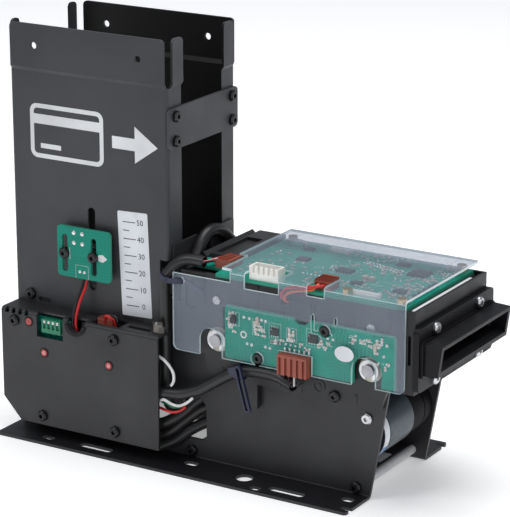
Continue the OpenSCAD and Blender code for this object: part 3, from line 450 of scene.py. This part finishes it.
def dress_cad():
    for mat, names in CAD_LOOKS.items():
        for name in names:
            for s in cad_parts[name].material_slots:
                s.material = mat
    for width, names in SOFT_EDGES.items():
        for name in names:
            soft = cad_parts[name].modifiers.new("soft_edges", "BEVEL")
            soft.width = width * MM
            soft.segments = 2
            soft.limit_method = "ANGLE"
            soft.angle_limit = math.radians(50)
            soft.harden_normals = True


# ---------- mesh tools ----------

FRONT = Matrix(((1, 0, 0, 0), (0, 0, -1, 0), (0, 1, 0, 0), (0, 0, 0, 1)))   # (x, z, out of the front)


def on_front(y):
    """Places (x, z, height) on a face that looks along -Y."""
    return Matrix.Translation((0, y, 0)) @ FRONT


def on_top(z):
    """Places (x, y, height) on a face that looks up."""
    return Matrix.Translation((0, 0, z))


def bridge(bm, a, b):
    """Closed strip of faces between two loops of vertices."""
    n = len(a)
    return [bm.faces.new((a[i], a[(i + 1) % n], b[(i + 1) % n], b[i])) for i in range(n)]


def mesh_of(bm, name, place=Matrix.Identity(4)):
    """Mesh in metres, from one made in millimetres in the frame of place."""
    bmesh.ops.recalc_face_normals(bm, faces=bm.faces)
    mesh = bpy.data.meshes.new(name)
    bm.to_mesh(mesh)
    bm.free()
    mesh.transform(Matrix.Scale(MM, 4) @ place)
    return mesh


class solids:
    """Collects closed solids in one mesh. Coordinates are millimetres in the frame of place."""

    def __init__(self, place=None):
        self.bm = bmesh.new()
        self.place = place or Matrix.Identity(4)

    def prism(self, outline, bottom, top, bevel=0.0):
        """Solid between two heights over an outline of (u, v) points."""
        lower = [self.bm.verts.new((u, v, bottom)) for u, v in outline]
        upper = [self.bm.verts.new((u, v, top)) for u, v in outline]
        faces = [self.bm.faces.new(lower[::-1]), self.bm.faces.new(upper), *bridge(self.bm, lower, upper)]
        if bevel:
            rim = list(faces[1].edges)
            if len(outline) == 4:
                rim += [e for f in faces[2:] for e in f.edges if e not in faces[0].edges and e not in rim]
            bmesh.ops.bevel(self.bm, geom=list(dict.fromkeys(rim)), offset=bevel, segments=2, profile=0.5,
                            affect="EDGES")

    def box(self, lo, hi, bevel=0.0):
        self.prism([(lo[0], lo[1]), (hi[0], lo[1]), (hi[0], hi[1]), (lo[0], hi[1])], lo[2], hi[2], bevel)

    def slab(self, u, v, w, d, bottom, top, bevel=0.0):
        """Box centred on (u, v)."""
        self.box((u - w / 2, v - d / 2, bottom), (u + w / 2, v + d / 2, top), bevel)

    def disc(self, u, v, r, bottom, top, n=24, bevel=0.0):
        self.prism(oval(u, v, r, r, n), bottom, top, bevel)

    def border(self, outer, inner, bottom, top):
        """Flat closed band between two outlines of as many points each."""
        loops = [[self.bm.verts.new((u, v, h)) for u, v in outline]
                 for outline, h in ((outer, bottom), (outer, top), (inner, top), (inner, bottom))]
        for a, b in zip(loops, loops[1:] + loops[:1]):
            bridge(self.bm, a, b)

    def ring(self, u, v, r_out, r_in, bottom, top, n=32):
        self.border(oval(u, v, r_out, r_out, n), oval(u, v, r_in, r_in, n), bottom, top)

    def dome(self, u, v, r, bottom, height, n=16, steps=4):
        """Low round blob, as solder or a rivet has."""
        rings = []
        for k in range(steps):
            a = k / steps * math.pi / 2
            q = r * math.cos(a)
            rings.append([self.bm.verts.new((x, y, bottom + height * math.sin(a))) for x, y in oval(u, v, q, q, n)])
        tip = self.bm.verts.new((u, v, bottom + height))
        self.bm.faces.new(rings[0][::-1])
        for a, b in zip(rings, rings[1:]):
            bridge(self.bm, a, b)
        for i in range(n):
            self.bm.faces.new((rings[-1][i], rings[-1][(i + 1) % n], tip))

    def piece(self, name, mat, slot, body=FRAME_BODY, smooth=32.0):
        """The finished object, in metres, riding on its body."""
        return finish_piece(name, mesh_of(self.bm, name, self.place), mat, body, smooth)


def finish_piece(name, mesh, mat, body=FRAME_BODY, smooth=32.0):
    mesh.materials.append(mat)
    mesh.polygons.foreach_set("use_smooth", [True] * len(mesh.polygons))
    mesh.set_sharp_from_angle(angle=math.radians(smooth))
    obj = bpy.data.objects.new(name, mesh)
    bpy.context.scene.collection.objects.link(obj)
    if body:
        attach(obj, body)
    return obj


def oval(u, v, half_w, half_h, n=40):
    return [(u + half_w * math.cos(2 * math.pi * i / n), v + half_h * math.sin(2 * math.pi * i / n))
            for i in range(n)]


def rounded(lo, hi, r, n=6):
    """Outline of a rectangle with round corners."""
    points = []
    for cx, cy, start in ((hi[0] - r, hi[1] - r, 0), (lo[0] + r, hi[1] - r, 1), (lo[0] + r, lo[1] + r, 2),
                          (hi[0] - r, lo[1] + r, 3)):
        for i in range(n + 1):
            a = (start + i / n) * math.pi / 2
            points.append((cx + r * math.cos(a), cy + r * math.sin(a)))
    return points


def smooth_path(points, step):
    """Points along a Catmull-Rom curve through the given ones, about a step apart."""
    p = [Vector(q) for q in points]
    p = [p[0] * 2 - p[1]] + p + [p[-1] * 2 - p[-2]]
    out = []
    for a, b, c, d in zip(p, p[1:], p[2:], p[3:]):
        n = max(2, round((c - b).length / step))
        for i in range(n):
            t = i / n
            out.append(0.5 * (2 * b + (c - a) * t + (2 * a - 5 * b + 4 * c - d) * t * t
                              + (3 * b - a - 3 * c + d) * t ** 3))
    return out + [p[-2]]


BORE_SHARE = 0.8      # bore of a hollow sleeve end, as a share of its outside


def tube_mesh(points, r, sides=16, step=1.0, mouth=0.0):
    """Closed tube along a curve. With a mouth, its first end is hollow to that depth."""
    path = smooth_path(points, step)
    bm = bmesh.new()
    side = Vector((0.3, 1, 0.2))
    skin = []
    for i, p in enumerate(path):
        ahead = (path[min(i + 1, len(path) - 1)] - path[max(i - 1, 0)]).normalized()
        side = (side - ahead * side.dot(ahead)).normalized()
        other = ahead.cross(side)
        skin.append([bm.verts.new(p + r * (math.cos(a) * side + math.sin(a) * other))
                     for a in (2 * math.pi * k / sides for k in range(sides))])
    if mouth:
        depth = max(2, round(mouth / step))
        skin = [[bm.verts.new(path[i] + (v.co - path[i]) * BORE_SHARE) for v in skin[i]]
                for i in range(depth, -1, -1)] + skin
    for a, b in zip(skin, skin[1:]):
        bridge(bm, a, b)
    bm.faces.new(skin[0][::-1])
    bm.faces.new(skin[-1])
    return mesh_of(bm, "tube")


def insulation(name, colour):
    mat = shader(name, colour, 0.3)
    mottle(mat, [c * 0.8 for c in colour], colour, 120)
    bump(mat, noise(mat, 900, 2), 0.2, 0.02)
    return mat


WIRE_COLOURS = {
    "red": insulation("wire_red", (0.62, 0.02, 0.02)),
    "orange": insulation("wire_orange", (0.85, 0.16, 0.05)),
    "black": insulation("wire_black", (0.015, 0.015, 0.016)),
    "white": insulation("wire_white", (0.82, 0.82, 0.82)),
    "green": insulation("wire_green", (0.01, 0.2, 0.08)),
    "yellow": insulation("wire_yellow", (0.75, 0.6, 0.05)),
}


def wire(name, colour, points, r=0.7, body=FRAME_BODY):
    return finish_piece(name, tube_mesh(points, r, 10, 0.8), WIRE_COLOURS[colour], body, 60)


# ---------- harness ----------

SLEEVE_R = 2.8
SLEEVE_STEP = 1.2     # distance between the points along a sleeve
THIN_WIRE_R = 0.55

UPPER_ROUTE = [(0.5, -29.6, 101.7), (-6, -29.8, 101.9), (-11, -30.6, 101), (-15.6, -31.4, 97.6),
               (-18.8, -32, 93.4), (-20.4, -32.2, 89), (-20.6, -32.2, 80), (-20.6, -32.2, 66), (-20.6, -32.2, 50),
               (-20.4, -32.2, 36), (-19.4, -31.4, 28), (-16.4, -27, 22), (-12, -20, 19.6), (-7, -11, 19),
               (-4, -4, 19)]
LOWER_ROUTE = [(55, -39.4, 52.6), (51, -37.6, 53.2), (45, -36.2, 54.6), (36, -35.6, 54.9), (26, -35.6, 53.6),
               (18, -36.2, 50.6), (10, -37.4, 45.5), (2, -38.8, 40.5), (-6, -39.6, 37.5), (-14, -40, 36.5),
               (-20, -40, 35.5)]
ARCH_ROUTE = [(-18, -4, 19.6), (-17.6, -12, 21), (-16.4, -18, 26), (-15.2, -21, 34), (-14.8, -22.4, 46),
              (-14.8, -23, 62), (-14.8, -23, 74), (-14.8, -22.2, 84), (-14.9, -18.6, 92), (-15, -13, 98.4),
              (-15, -8, 103.6), (-15, -2.6, 107), (-15, 4, 107.4), (-15.1, 11, 104.6), (-15.2, 18.6, 98.6),
              (-15.2, 25.8, 91.6), (-15.2, 31, 84.4), (-15, 32.6, 77), (-14.6, 32.4, 66), (-14.4, 32.4, 54),
              (-14.2, 32.4, 38), (-14, 31.8, 30), (-12.6, 28, 23), (-10, 20, 20), (-8, 10, 19)]
# Sleeves through the front cable cut, which have no CAD solid. Besides standing for cables, they fill the view into
# the open base with dark shapes where there is shade.
CUT_ROUTES = [[(16, -16, 33), (8, -20, 31), (0, -24, 28), (-7, -26.6, 23.5), (-13, -29.6, 18), (-19, -32.6, 13),
               (-26, -35, 10.8)],
              [(20, -16, 24), (12, -19, 24), (4, -23, 22), (-3, -26, 18.5), (-9, -29, 14.8), (-15, -32, 9.6),
               (-22, -36, 6)],
              [(15, -16, 39), (7, -20, 37.4), (0, -24, 34.4), (-6, -27.6, 29.8), (-10.6, -30.9, 24.8),
               (-14.8, -33.8, 21.4), (-20, -35.8, 18.6), (-27, -36.6, 17)]]
LOW_WIRE = [(-65.6, -32.4, 84.1), (-65.6, -32.5, 82.4), (-65.9, -33.6, 79), (-66.6, -35.4, 75.4), (-67, -37.6, 71.4),
            (-67, -40, 66.6), (-66.6, -41.2, 62.8), (-66.2, -41.2, 60), (-66, -40.8, 57)]
LOOSE_WIRES = [
    ("white", [(-19, -40.5, 54.4), (-16, -41.2, 53.6), (-13, -41.6, 51.8), (-10.4, -41.8, 49), (-9.6, -41.7, 46.2),
               (-10, -41.6, 43.2), (-11.4, -41.4, 41.2)]),
    ("white", [(-19, -41.2, 31.8), (-16.6, -42.2, 33), (-14.2, -43.2, 34), (-10, -43.2, 32.6), (-6.1, -43, 32.4),
               (-2, -42.6, 34.4), (1.2, -42.2, 37.4)]),
    ("red", [(-19, -40.6, 28.4), (-13.6, -41.6, 28), (-10.6, -41.8, 27.9), (-7, -41, 29), (-4, -40.2, 31.4)]),
    ("green", [(-19, -39, 31.2), (-14, -40.2, 30.8), (-10.4, -40.4, 30), (-7, -39.4, 30.7), (-4.4, -38.4, 33)]),
    ("orange", [(63.4, -31.3, 101.4), (63.4, -32.4, 101.3), (61.6, -34, 99.4), (58, -35.1, 98.6), (53, -35.1, 97.4),
                (49.4, -35.1, 96), (47.6, -35, 94), (47.4, -33.6, 91.4), (47.4, -29, 90)]),
    ("red", [(66.4, -31.3, 101.4), (66.4, -32.6, 101.5), (62, -35.2, 101), (58, -35.2, 100.2), (52, -35.1, 99.2),
             (48.6, -35.1, 98), (46, -35, 95.6), (45.6, -33.6, 92.4), (45.6, -29, 91)]),
    ("red", [(-52, -36.4, 62), (-51.8, -37, 66.2), (-50.4, -39, 68.8), (-48, -39.4, 68.8), (-46.6, -37.6, 66.2),
             (-46.4, -36.5, 62)]),
    ("black", [(-55.4, -36, 62), (-55, -35.6, 66), (-52.4, -34.6, 67.4), (-48.6, -33.8, 67.4), (-47, -34.4, 65.8),
               (-46.8, -34.6, 62)]),
]


def make_harness():
    sleeves = [finish_piece(name, tube_mesh(route, SLEEVE_R, 20, SLEEVE_STEP, mouth=5), SLEEVE,
                            smooth=50)
               for name, route in (("upper_sleeve", UPPER_ROUTE), ("lower_sleeve", LOWER_ROUTE),
                                   ("arch_sleeve", ARCH_ROUTE))]
    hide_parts("harness_sleeves")
    # The cut sleeves are partly cables and partly dark filler standing in for shade inside the open base.
    for i, route in enumerate(CUT_ROUTES):
        finish_piece(f"cut_sleeve_{i + 1}", tube_mesh(route, SLEEVE_R, 20, SLEEVE_STEP), SLEEVE,
                     smooth=50)
    for i, (colour, route) in enumerate(LOOSE_WIRES):
        made = wire(f"loose_wire_{i + 1}", colour, route)
    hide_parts("harness_wires")
    # Five wires run from the hollow end of the upper sleeve and of the lower sleeve to their plugs.
    for i, colour in enumerate(("black", "red", "white", "red", "black")):
        across = (i - 2) * 0.95
        y = -15.15 - 2.3 * (4 - i)
        start = Vector(UPPER_ROUTE[0])
        wire(f"board_wire_{i + 1}", colour, [start + Vector((-4, across * 0.7, 0.3)),
                                             start + Vector((0, across, 0.2)),
                                             Vector((2.2, y - 1.4, 101.4)), Vector((4.4, y, 100.7))], THIN_WIRE_R)
    for i, colour in enumerate(("black", "black", "white", "black", "black")):
        x = 48.6 + 3.1 * i
        start = Vector(LOWER_ROUTE[0])
        wire(f"sensor_wire_{i + 1}", colour, [start + Vector((-4, 0.7, 0.5 + (i - 2) * 0.3)),
                                              start + Vector((0, (i - 2) * 0.6, 0.2)),
                                              Vector((x * 0.8 + 11.5, -39.4, 54.8)), Vector((x, -38.1, 57.9))],
             THIN_WIRE_R)
    for name, colour, shift in (("low_card_wire_red", "red", 0), ("low_card_wire_black", "black", -1.9)):
        points = [(x + shift, y, z) for x, y, z in LOW_WIRE]
        made = wire(name, colour, points, body=None)
        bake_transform(made)
    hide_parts("low_card_wires")


# ---------- labels ----------

HOPPER_FLARE = 1.4    # how far the hopper's flared top stands out in front of its face
FILM = 0.08           # thickness of a sticker
PRINT = 0.03          # thickness of printing on a board


def hopper_face():
    return low("hopper_front").y + HOPPER_FLARE


def number(text, u, v, size, place, name):
    """A small flat figure, centred on (u, v)."""
    curve = bpy.data.curves.new(name, "FONT")
    curve.body = text
    curve.size = size
    curve.align_x = "CENTER"
    curve.align_y = "CENTER"
    curve.extrude = 0.03
    curve.resolution_u = 3
    holder = bpy.data.objects.new(name, curve)
    bpy.context.scene.collection.objects.link(holder)
    bpy.context.view_layer.update()
    mesh = bpy.data.meshes.new_from_object(holder.evaluated_get(bpy.context.evaluated_depsgraph_get()))
    bpy.data.objects.remove(holder)
    mesh.transform(Matrix.Scale(MM, 4) @ place @ Matrix.Translation((u, v, 0.1)))
    mesh.name = name
    mesh.materials.clear()
    return finish_piece(name, mesh, BLACK_INK)


def make_level_label():
    """White film with one tick for each five cards, and counts from 0 to 50."""
    left, right, bottom, top = -47.6, -30.4, 68.0, 120.3
    middle = Matrix.Translation(((left + right) / 2, (bottom + top) / 2, 0))
    place = on_front(hopper_face()) @ middle @ Matrix.Rotation(math.radians(2.3), 4, "Z") @ middle.inverted()
    zero, fifty = 73.2, 115.1
    film = solids(place)
    film.prism(rounded((left, bottom), (right, top), 0.8), 0, FILM)
    film.piece("level_label", LABEL, "cream_plastic")
    ticks = solids(place)
    for i in range(11):
        z = zero + (fifty - zero) * i / 10
        end = -37.6 if i % 2 == 0 else -41.2
        ticks.box((left + 2.8, z - 0.2, FILM), (end, z + 0.2, FILM + 0.04))
    ticks.piece("level_ticks", BLACK_INK, "black_paint")
    for i in range(6):
        number(str(10 * i), -34.9, zero + (fifty - zero) * i / 5, 3.9, place, f"level_figure_{10 * i}")


def make_emblem():
    """A plain printed pictogram: a card with a stripe, and an arrow the way the cards go."""
    ink = solids(on_front(hopper_face()))
    thick = 0.06
    left, right, bottom, top = -99.0, -56.0, 140.0, 167.0
    border = 2.2
    outer = rounded((left, bottom), (right, top), 4)
    inner = rounded((left + border, bottom + border), (right - border, top - border), 2)
    ink.border(outer, inner, 0, thick)
    ink.box((left + border, top - 10, 0), (right - border, top - 5.2, thick))
    ink.box((left + 6, bottom + 5, 0), (left + 18, bottom + 7.4, thick))
    middle = (bottom + top) / 2
    ink.prism([(-51, middle - 3), (-38, middle - 3), (-38, middle - 9), (-25, middle), (-38, middle + 9),
               (-38, middle + 3), (-51, middle + 3)], 0, thick)
    ink.piece("card_pictogram", WHITE_INK, "cream_plastic")


# ---------- circuit board details ----------

def two_ended(parts, u, v, along_u=True):
    """Small resistor or capacitor with a metal cap at each end."""
    w, d = (2.0, 1.2) if along_u else (1.2, 2.0)
    height = 0.6
    parts["body"].slab(u, v, w * 0.7 if along_u else w, d if along_u else d * 0.7, 0, height, 0.08)
    for s in (-1, 1):
        cu, cv = (u + s * w * 0.42, v) if along_u else (u, v + s * d * 0.42)
        parts["metal"].slab(cu, cv, w * 0.22 if along_u else w, d if along_u else d * 0.22, 0, height * 1.05, 0.06)


def flat_chip(parts, u, v, w, d, pins, height=1.2, four_sides=False):
    """Chip with bent legs along two or four sides."""
    parts["chip"].slab(u, v, w, d, 0.15, height, 0.12)
    parts["ink"].disc(u - w / 2 + 0.7, v + d / 2 - 0.7, 0.25, height, height + 0.02, 12)
    leg_w, leg_l, leg_h = 0.32, 0.9, 0.5
    for s in (-1, 1):
        for i in range(pins):
            share = i / (pins - 1) - 0.5
            parts["metal"].slab(u + share * (w - 0.8), v + s * (d + leg_l) / 2, leg_w, leg_l, 0, leg_h)
            if four_sides:
                parts["metal"].slab(u + s * (w + leg_l) / 2, v + share * (d - 0.8), leg_l, leg_w, 0, leg_h)


def solder_dot(parts, u, v, r=0.75):
    parts["metal"].dome(u, v, r, 0, 0.5)


def outline_box(parts, u, v, w, d):
    """Printed frame round a part."""
    t = 0.12
    for s in (-1, 1):
        parts["ink"].slab(u, v + s * d / 2, w + t, t, 0, PRINT)
        parts["ink"].slab(u + s * w / 2, v, t, d, 0, PRINT)


def board_parts(place):
    return {key: solids(place) for key in ("chip", "metal", "ink", "body")}


def finish_board(parts, name, body=FRAME_BODY):
    looks = {"chip": (CHIP, "moulded_black"), "metal": (SOLDER, "steel"), "ink": (WHITE_INK, "cream_plastic"),
             "body": (CERAMIC, "brown_plastic")}
    for key, group in parts.items():
        if len(group.bm.verts):
            group.piece(f"{name}_{key}", looks[key][0], looks[key][1], body)
        else:
            group.bm.free()


def scatter(parts, places):
    """Small parts and solder dots spread over (u, v, w, d) patches, with nothing left to chance."""
    for u0, v0, w, d, count in places:
        for _ in range(count):
            u, v = u0 + rng.random() * w, v0 + rng.random() * d
            kind = rng.random()
            if kind < 0.45:
                two_ended(parts, u, v, rng.random() < 0.5)
            elif kind < 0.7:
                solder_dot(parts, u, v, 0.7 * (0.6 + 0.4 * rng.random()))
            else:
                parts["ink"].slab(u, v, 0.6 + 2.4 * rng.random(), 0.3, 0, PRINT)


def make_sensor_board():
    parts = board_parts(on_front(low("sensor_board").y))
    flat_chip(parts, 42.6, 76.2, 4.2, 3.6, 4)
    flat_chip(parts, 63.2, 76.4, 5.0, 4.0, 4)
    flat_chip(parts, 20.0, 78.6, 3.2, 4.2, 3)
    for u, v in ((25.6, 80.2), (28.6, 80.1), (35.2, 80.4), (37.6, 80.2), (27.4, 67.4), (29.8, 67.2), (37.4, 67.6),
                 (39.8, 67.4), (70.6, 77.8), (73.4, 77.6), (98.6, 79.8), (101.4, 79.6), (99.8, 74.2), (102.4, 70.4)):
        solder_dot(parts, u, v, 0.8)
    for u, v, flat in ((31.6, 78.4, False), (33.4, 75.6, True), (36.4, 75.2, True), (33.2, 73.2, True),
                       (36.8, 73.0, True), (50.4, 77.4, False), (52.6, 77.2, False), (50.6, 73.6, True),
                       (67.6, 75.4, False), (69.6, 73.2, True), (18.6, 74.2, True), (20.6, 72.4, True),
                       (41.4, 71.0, True), (44.6, 70.8, True), (56.8, 72.4, True), (60.4, 70.2, True)):
        two_ended(parts, u, v, flat)
    for u, v, w, d in ((20.0, 78.6, 6.2, 6.6), (33.6, 76.4, 6.6, 7.6), (42.6, 76.2, 6.4, 7.6), (51.4, 75.8, 5.4, 6.8),
                       (63.2, 76.4, 7.4, 8.4)):
        outline_box(parts, u, v, w, d)
    scatter(parts, [(17, 75, 4, 7, 9), (31, 74, 6, 6, 14), (40, 70, 8, 3, 8), (50, 73, 4, 6, 8), (66, 72, 6, 5, 8),
                    (82, 77, 8, 5, 16), (92, 75, 8, 7, 18), (96, 66, 8, 5, 5)])
    parts["body"].slab(33.2, 80.0, 1.6, 3.4, 0, 0.9, 0.1)
    parts["body"].slab(95.6, 77.4, 1.5, 4.2, 0, 0.9, 0.1)
    parts["body"].slab(19.0, 79.6, 1.5, 3.6, 0, 0.9, 0.1)
    parts["ink"].ring(25.4, 71.6, 1.8, 1.1, 0, PRINT)
    for i in range(6):
        parts["metal"].slab(48.4 + 2.56 * i, 68.6, 0.9, 2.2, 0, 0.9, 0.12)
        solder_dot(parts, 48.4 + 2.56 * i, 70.9, 0.6)
    finish_board(parts, "sensor_board")
    sticker = solids(on_front(low("clear_cover").y))
    sticker.prism(oval(80.6, 72.6, 5.0, 3.7), 0.0, 0.06)
    sticker.piece("oval_sticker", LABEL, "cream_plastic")


def make_main_board():
    parts = board_parts(on_top(high("main_board").z))
    flat_chip(parts, 92, 14, 9, 9, 10, 1.3, True)
    flat_chip(parts, 60, 0, 8, 5, 7, 1.3)
    flat_chip(parts, 34, 6, 6, 5, 6, 1.2)
    flat_chip(parts, 28, 22, 5, 4, 5, 1.2)
    flat_chip(parts, 74, -14, 5, 4, 4, 1.2)
    flat_chip(parts, 97, -15, 6, 4, 5, 1.2)
    flat_chip(parts, 79, 23, 6, 4.4, 6, 1.2)
    parts["metal"].prism(oval(18.5, 26, 5.4, 2.3), 0, 2.4, 0.3)
    for i in range(12):
        for j in (0, 2.6):
            solder_dot(parts, 61 + 2.0 * i, 17 + j - 0.5 * i, 0.75)
    for i in range(6):
        solder_dot(parts, 44 + 2.2 * i, -12, 0.7)
    scatter(parts, [(16, -24, 10, 40, 26), (30, -10, 30, 12, 30), (48, 2, 26, 14, 34), (68, -22, 34, 14, 50),
                    (84, -4, 22, 12, 30), (36, 24, 40, 8, 24), (96, 22, 12, 10, 16), (50, -24, 18, 10, 16),
                    (72, 4, 14, 12, 24), (90, -26, 18, 22, 40), (98, 2, 10, 20, 24), (56, 22, 26, 10, 24)])
    for u, v, w, d in ((60, 0, 10, 8), (92, 14, 13, 13), (34, 6, 8, 8), (43, 27, 14, 6), (85, -8, 16, 6)):
        outline_box(parts, u, v, w, d)
    finish_board(parts, "main_board")
    ribbon = solids(on_top(high("main_board").z))
    for u, v, w in ((43, 27, 11), (86, -27, 15)):
        ribbon.slab(u, v, w, 3.2, 0, 1.8, 0.2)
        ribbon.slab(u, v - 1.9, w - 2, 1.0, 0, 1.2, 0.15)
        for i in range(int(w) - 2):
            ribbon.slab(u - w / 2 + 1.4 + i, v + 1.9, 0.35, 0.8, 0, 0.4)
    ribbon.piece("ribbon_sockets", CREAM, "cream_plastic")
    tan = solids(on_top(high("main_board").z))
    for u, v in ((74, -6), (77.5, -6), (100, 28), (103.5, 28)):
        tan.slab(u, v, 2.6, 3.6, 0, 2.0, 0.25)
    tan.piece("tantalum_capacitors", CERAMIC, "brown_plastic")
    edge = solids(on_top(high("main_board").z))
    for i in range(5):
        edge.slab(106.5, -18 + 5 * i, 2.2, 3.2, 0, 1.6, 0.2)
    edge.piece("edge_parts", CHIP, "moulded_black")
    pins = solids(on_top(high("main_board").z))
    socket = low("power_connector")
    for i in range(5):
        pins.slab(socket.x + 2.8 + 2.5 * i, socket.y + 3.2, 0.64, 0.64, 1.0, 5.2, 0.12)
    pins.piece("power_pins", SOLDER, "steel")


def make_low_card_board():
    parts = board_parts(on_front(low("low_card_board").y))
    for u in (-71.1, -66.2):
        for v in (101.4, 106.5):
            solder_dot(parts, u, v, 1.1)
    arrow = [(-58.5, 95.9), (-56.4, 97.5), (-54.2, 97.8), (-51.6, 95.9), (-54.2, 94.0), (-56.4, 94.3)]
    parts["ink"].prism(arrow, 0, 0.04)
    parts["ink"].slab(-73.6, 95.7, 0.3, 6, 0, 0.04)
    u, v, w, d, t = -66.6, 87.2, 7.4, 6.6, 0.12
    parts["ink"].slab(u, v + d / 2, w + t, t, 0, 0.04)
    for side in (-1, 1):
        parts["ink"].slab(u + side * w / 2, v, t, d, 0, 0.04)
        solder_dot(parts, u + side * 1.3, v, 0.85)
    finish_board(parts, "low_card_board", SLIDER)


def make_control_board():
    """What shows in the control box's window and open side."""
    face = low("control_board").y
    parts = board_parts(on_front(face))
    lo, hi = low("header_block"), high("header_block")
    for i in range(4):
        u = lo.x + 1.8 + 2.6 * i
        parts["ink"].slab(u, hi.z - 1.2, 1.1, 1.4, 4.0, 4.25, 0.1)
        parts["metal"].slab(u, lo.z - 1.0, 0.6, 1.8, 0, 0.6, 0.1)
    flat_chip(parts, -60, 38, 12, 8, 8)
    flat_chip(parts, -84, 30, 6, 5, 4)
    scatter(parts, [(-98, 24, 20, 18, 12), (-50, 20, 24, 30, 16)])
    finish_board(parts, "control_board")
    # Painted shade and highlight on the LEDs: a dark ring stands for the shaded edge of each hole, and a pale pink
    # dome is a painted highlight.
    rings, tips = solids(on_front(low("control_box").y)), solids(on_front(low("status_leds").y))
    for u, v in ((-92.6, 60.2), (-83.8, 45.5), (-45.4, 45.8)):
        rings.ring(u, v, 2.5, 1.95, 0, 0.25)
        if v < 50:
            tips.dome(u, v, 1.0, 0, 0.25, 16, 3)
    rings.piece("led_hole_shade_rings", GROMMET, "black_rubber")
    tips.piece("led_painted_highlights", LED_PAINTED_HIGHLIGHT, "led_lens")
    top_plug = solids()
    top_plug.box((-56.6, -37.2, 60.5), (-47.8, -32.6, 66.2), 0.3)
    for i in range(5):
        top_plug.box((-56.2 + 1.75 * i, -37.0, 66.2), (-55.4 + 1.75 * i, -32.8, 66.7), 0.1)
    top_plug.piece("top_plug", BROWN, "brown_plastic")
    sockets = solids(on_front(face))
    for z in (20, 32, 46):
        sockets.box((-31, z, 0), (-23.5, z + 8, 4.2), 0.3)
    sockets.piece("control_sockets", CREAM, "cream_plastic")


# ---------- other fittings ----------

def make_motor_wrap():
    """White band on the front half of the motor, with a plain blue patch low down."""
    lo, hi = low("motor_can"), high("motor_can")
    x, z, r = (lo.x + hi.x) / 2, (lo.z + hi.z) / 2, (hi.z - lo.z) / 2
    for name, y0, y1, a0, a1, proud, mat, slot in (
            ("motor_band", -21.7, -17.0, 0, 360, 0.08, LABEL, "cream_plastic"),
            ("motor_patch", -21.4, -17.4, -80, -24, 0.14, BLUE_PATCH, "navy_plastic")):
        band = bmesh.new()
        full = a1 - a0 == 360
        n = 64 if full else 24
        loops = []
        for i in range(n if full else n + 1):
            a = math.radians(a0 + (a1 - a0) * i / n)
            loops.append([band.verts.new((x + q * math.cos(a), y, z + q * math.sin(a)))
                          for q, y in ((r, y0), (r + proud, y0), (r + proud, y1), (r, y1))])
        for a, b in zip(loops, loops[1:] + (loops[:1] if full else [])):
            bridge(band, a, b)
        if not full:
            band.faces.new(loops[0])
            band.faces.new(loops[-1][::-1])
        finish_piece(name, mesh_of(band, name), mat)


def make_housing_details():
    """Raised and sunk shapes on the moulded skirt and behind the clear cover."""
    side = low("reader_lower_housing").y
    skirt = solids(on_front(side))
    for u, v in ((21, 52.6), (64.5, 52.4)):
        skirt.ring(u, v, 3.2, 2.5, 0, 0.35)
        skirt.disc(u, v, 1.3, 0, 0.3, 20)
    for u in (12, 43, 55, 84):
        skirt.slab(u, 49.8, 1.2, 4.6, 0, 0.3, 0.1)
    skirt.piece("skirt_embossing", MOULDED_BLACK, "moulded_black")
    wall = solids(on_front(low("reader_upper_housing").y + 0.5))
    for u0, u1 in ((-8.6, -3.2), (21, 29), (31, 43), (45, 57)):
        wall.ring((u0 + u1) / 2, 79.6, 1.0, 0.6, 0, 0.25, 16)
        wall.slab((u0 + u1) / 2, 92, u1 - u0 - 1.4, 0.8, 0, 0.3, 0.08)
    wall.piece("housing_ribs", MOULDED_BLACK, "moulded_black")


def make_light_strip():
    """White light guide across the open top of the end block."""
    strip = solids(on_top(high("reader_upper_housing").z - 0.3))
    strip.box((112.4, -33, 0), (114.1, 25, 1.1), 0.2)
    strip.piece("light_strip", WHITE_INK, "cream_plastic")


def make_shaft_cap():
    """Black plug in the hopper's front face, over the end of the feed shaft."""
    x, z = (low("feed_shaft").x + high("feed_shaft").x) / 2, (low("feed_shaft").z + high("feed_shaft").z) / 2
    sheet, radius, height = 1.0, 5.9, 0.9
    cap = solids(on_front(hopper_face() + sheet))
    cap.disc(x, z, radius, 0, height, 40, 0.2)
    cap.piece("feed_shaft_cap", MOULDED_BLACK, "moulded_black")


def make_plain_stickers():
    film = solids(on_top(high("cross_plate").z))
    film.prism(rounded((70.5, 0.5), (79.8, 12.5), 0.6), 0, FILM)
    film.piece("cross_plate_sticker", LABEL, "cream_plastic")


make_camera()
make_studio()
dress_cad()
make_harness()
make_level_label()
make_emblem()
make_sensor_board()
make_main_board()
make_low_card_board()
make_control_board()
make_motor_wrap()
make_housing_details()
make_light_strip()
make_shaft_cap()
make_plain_stickers()
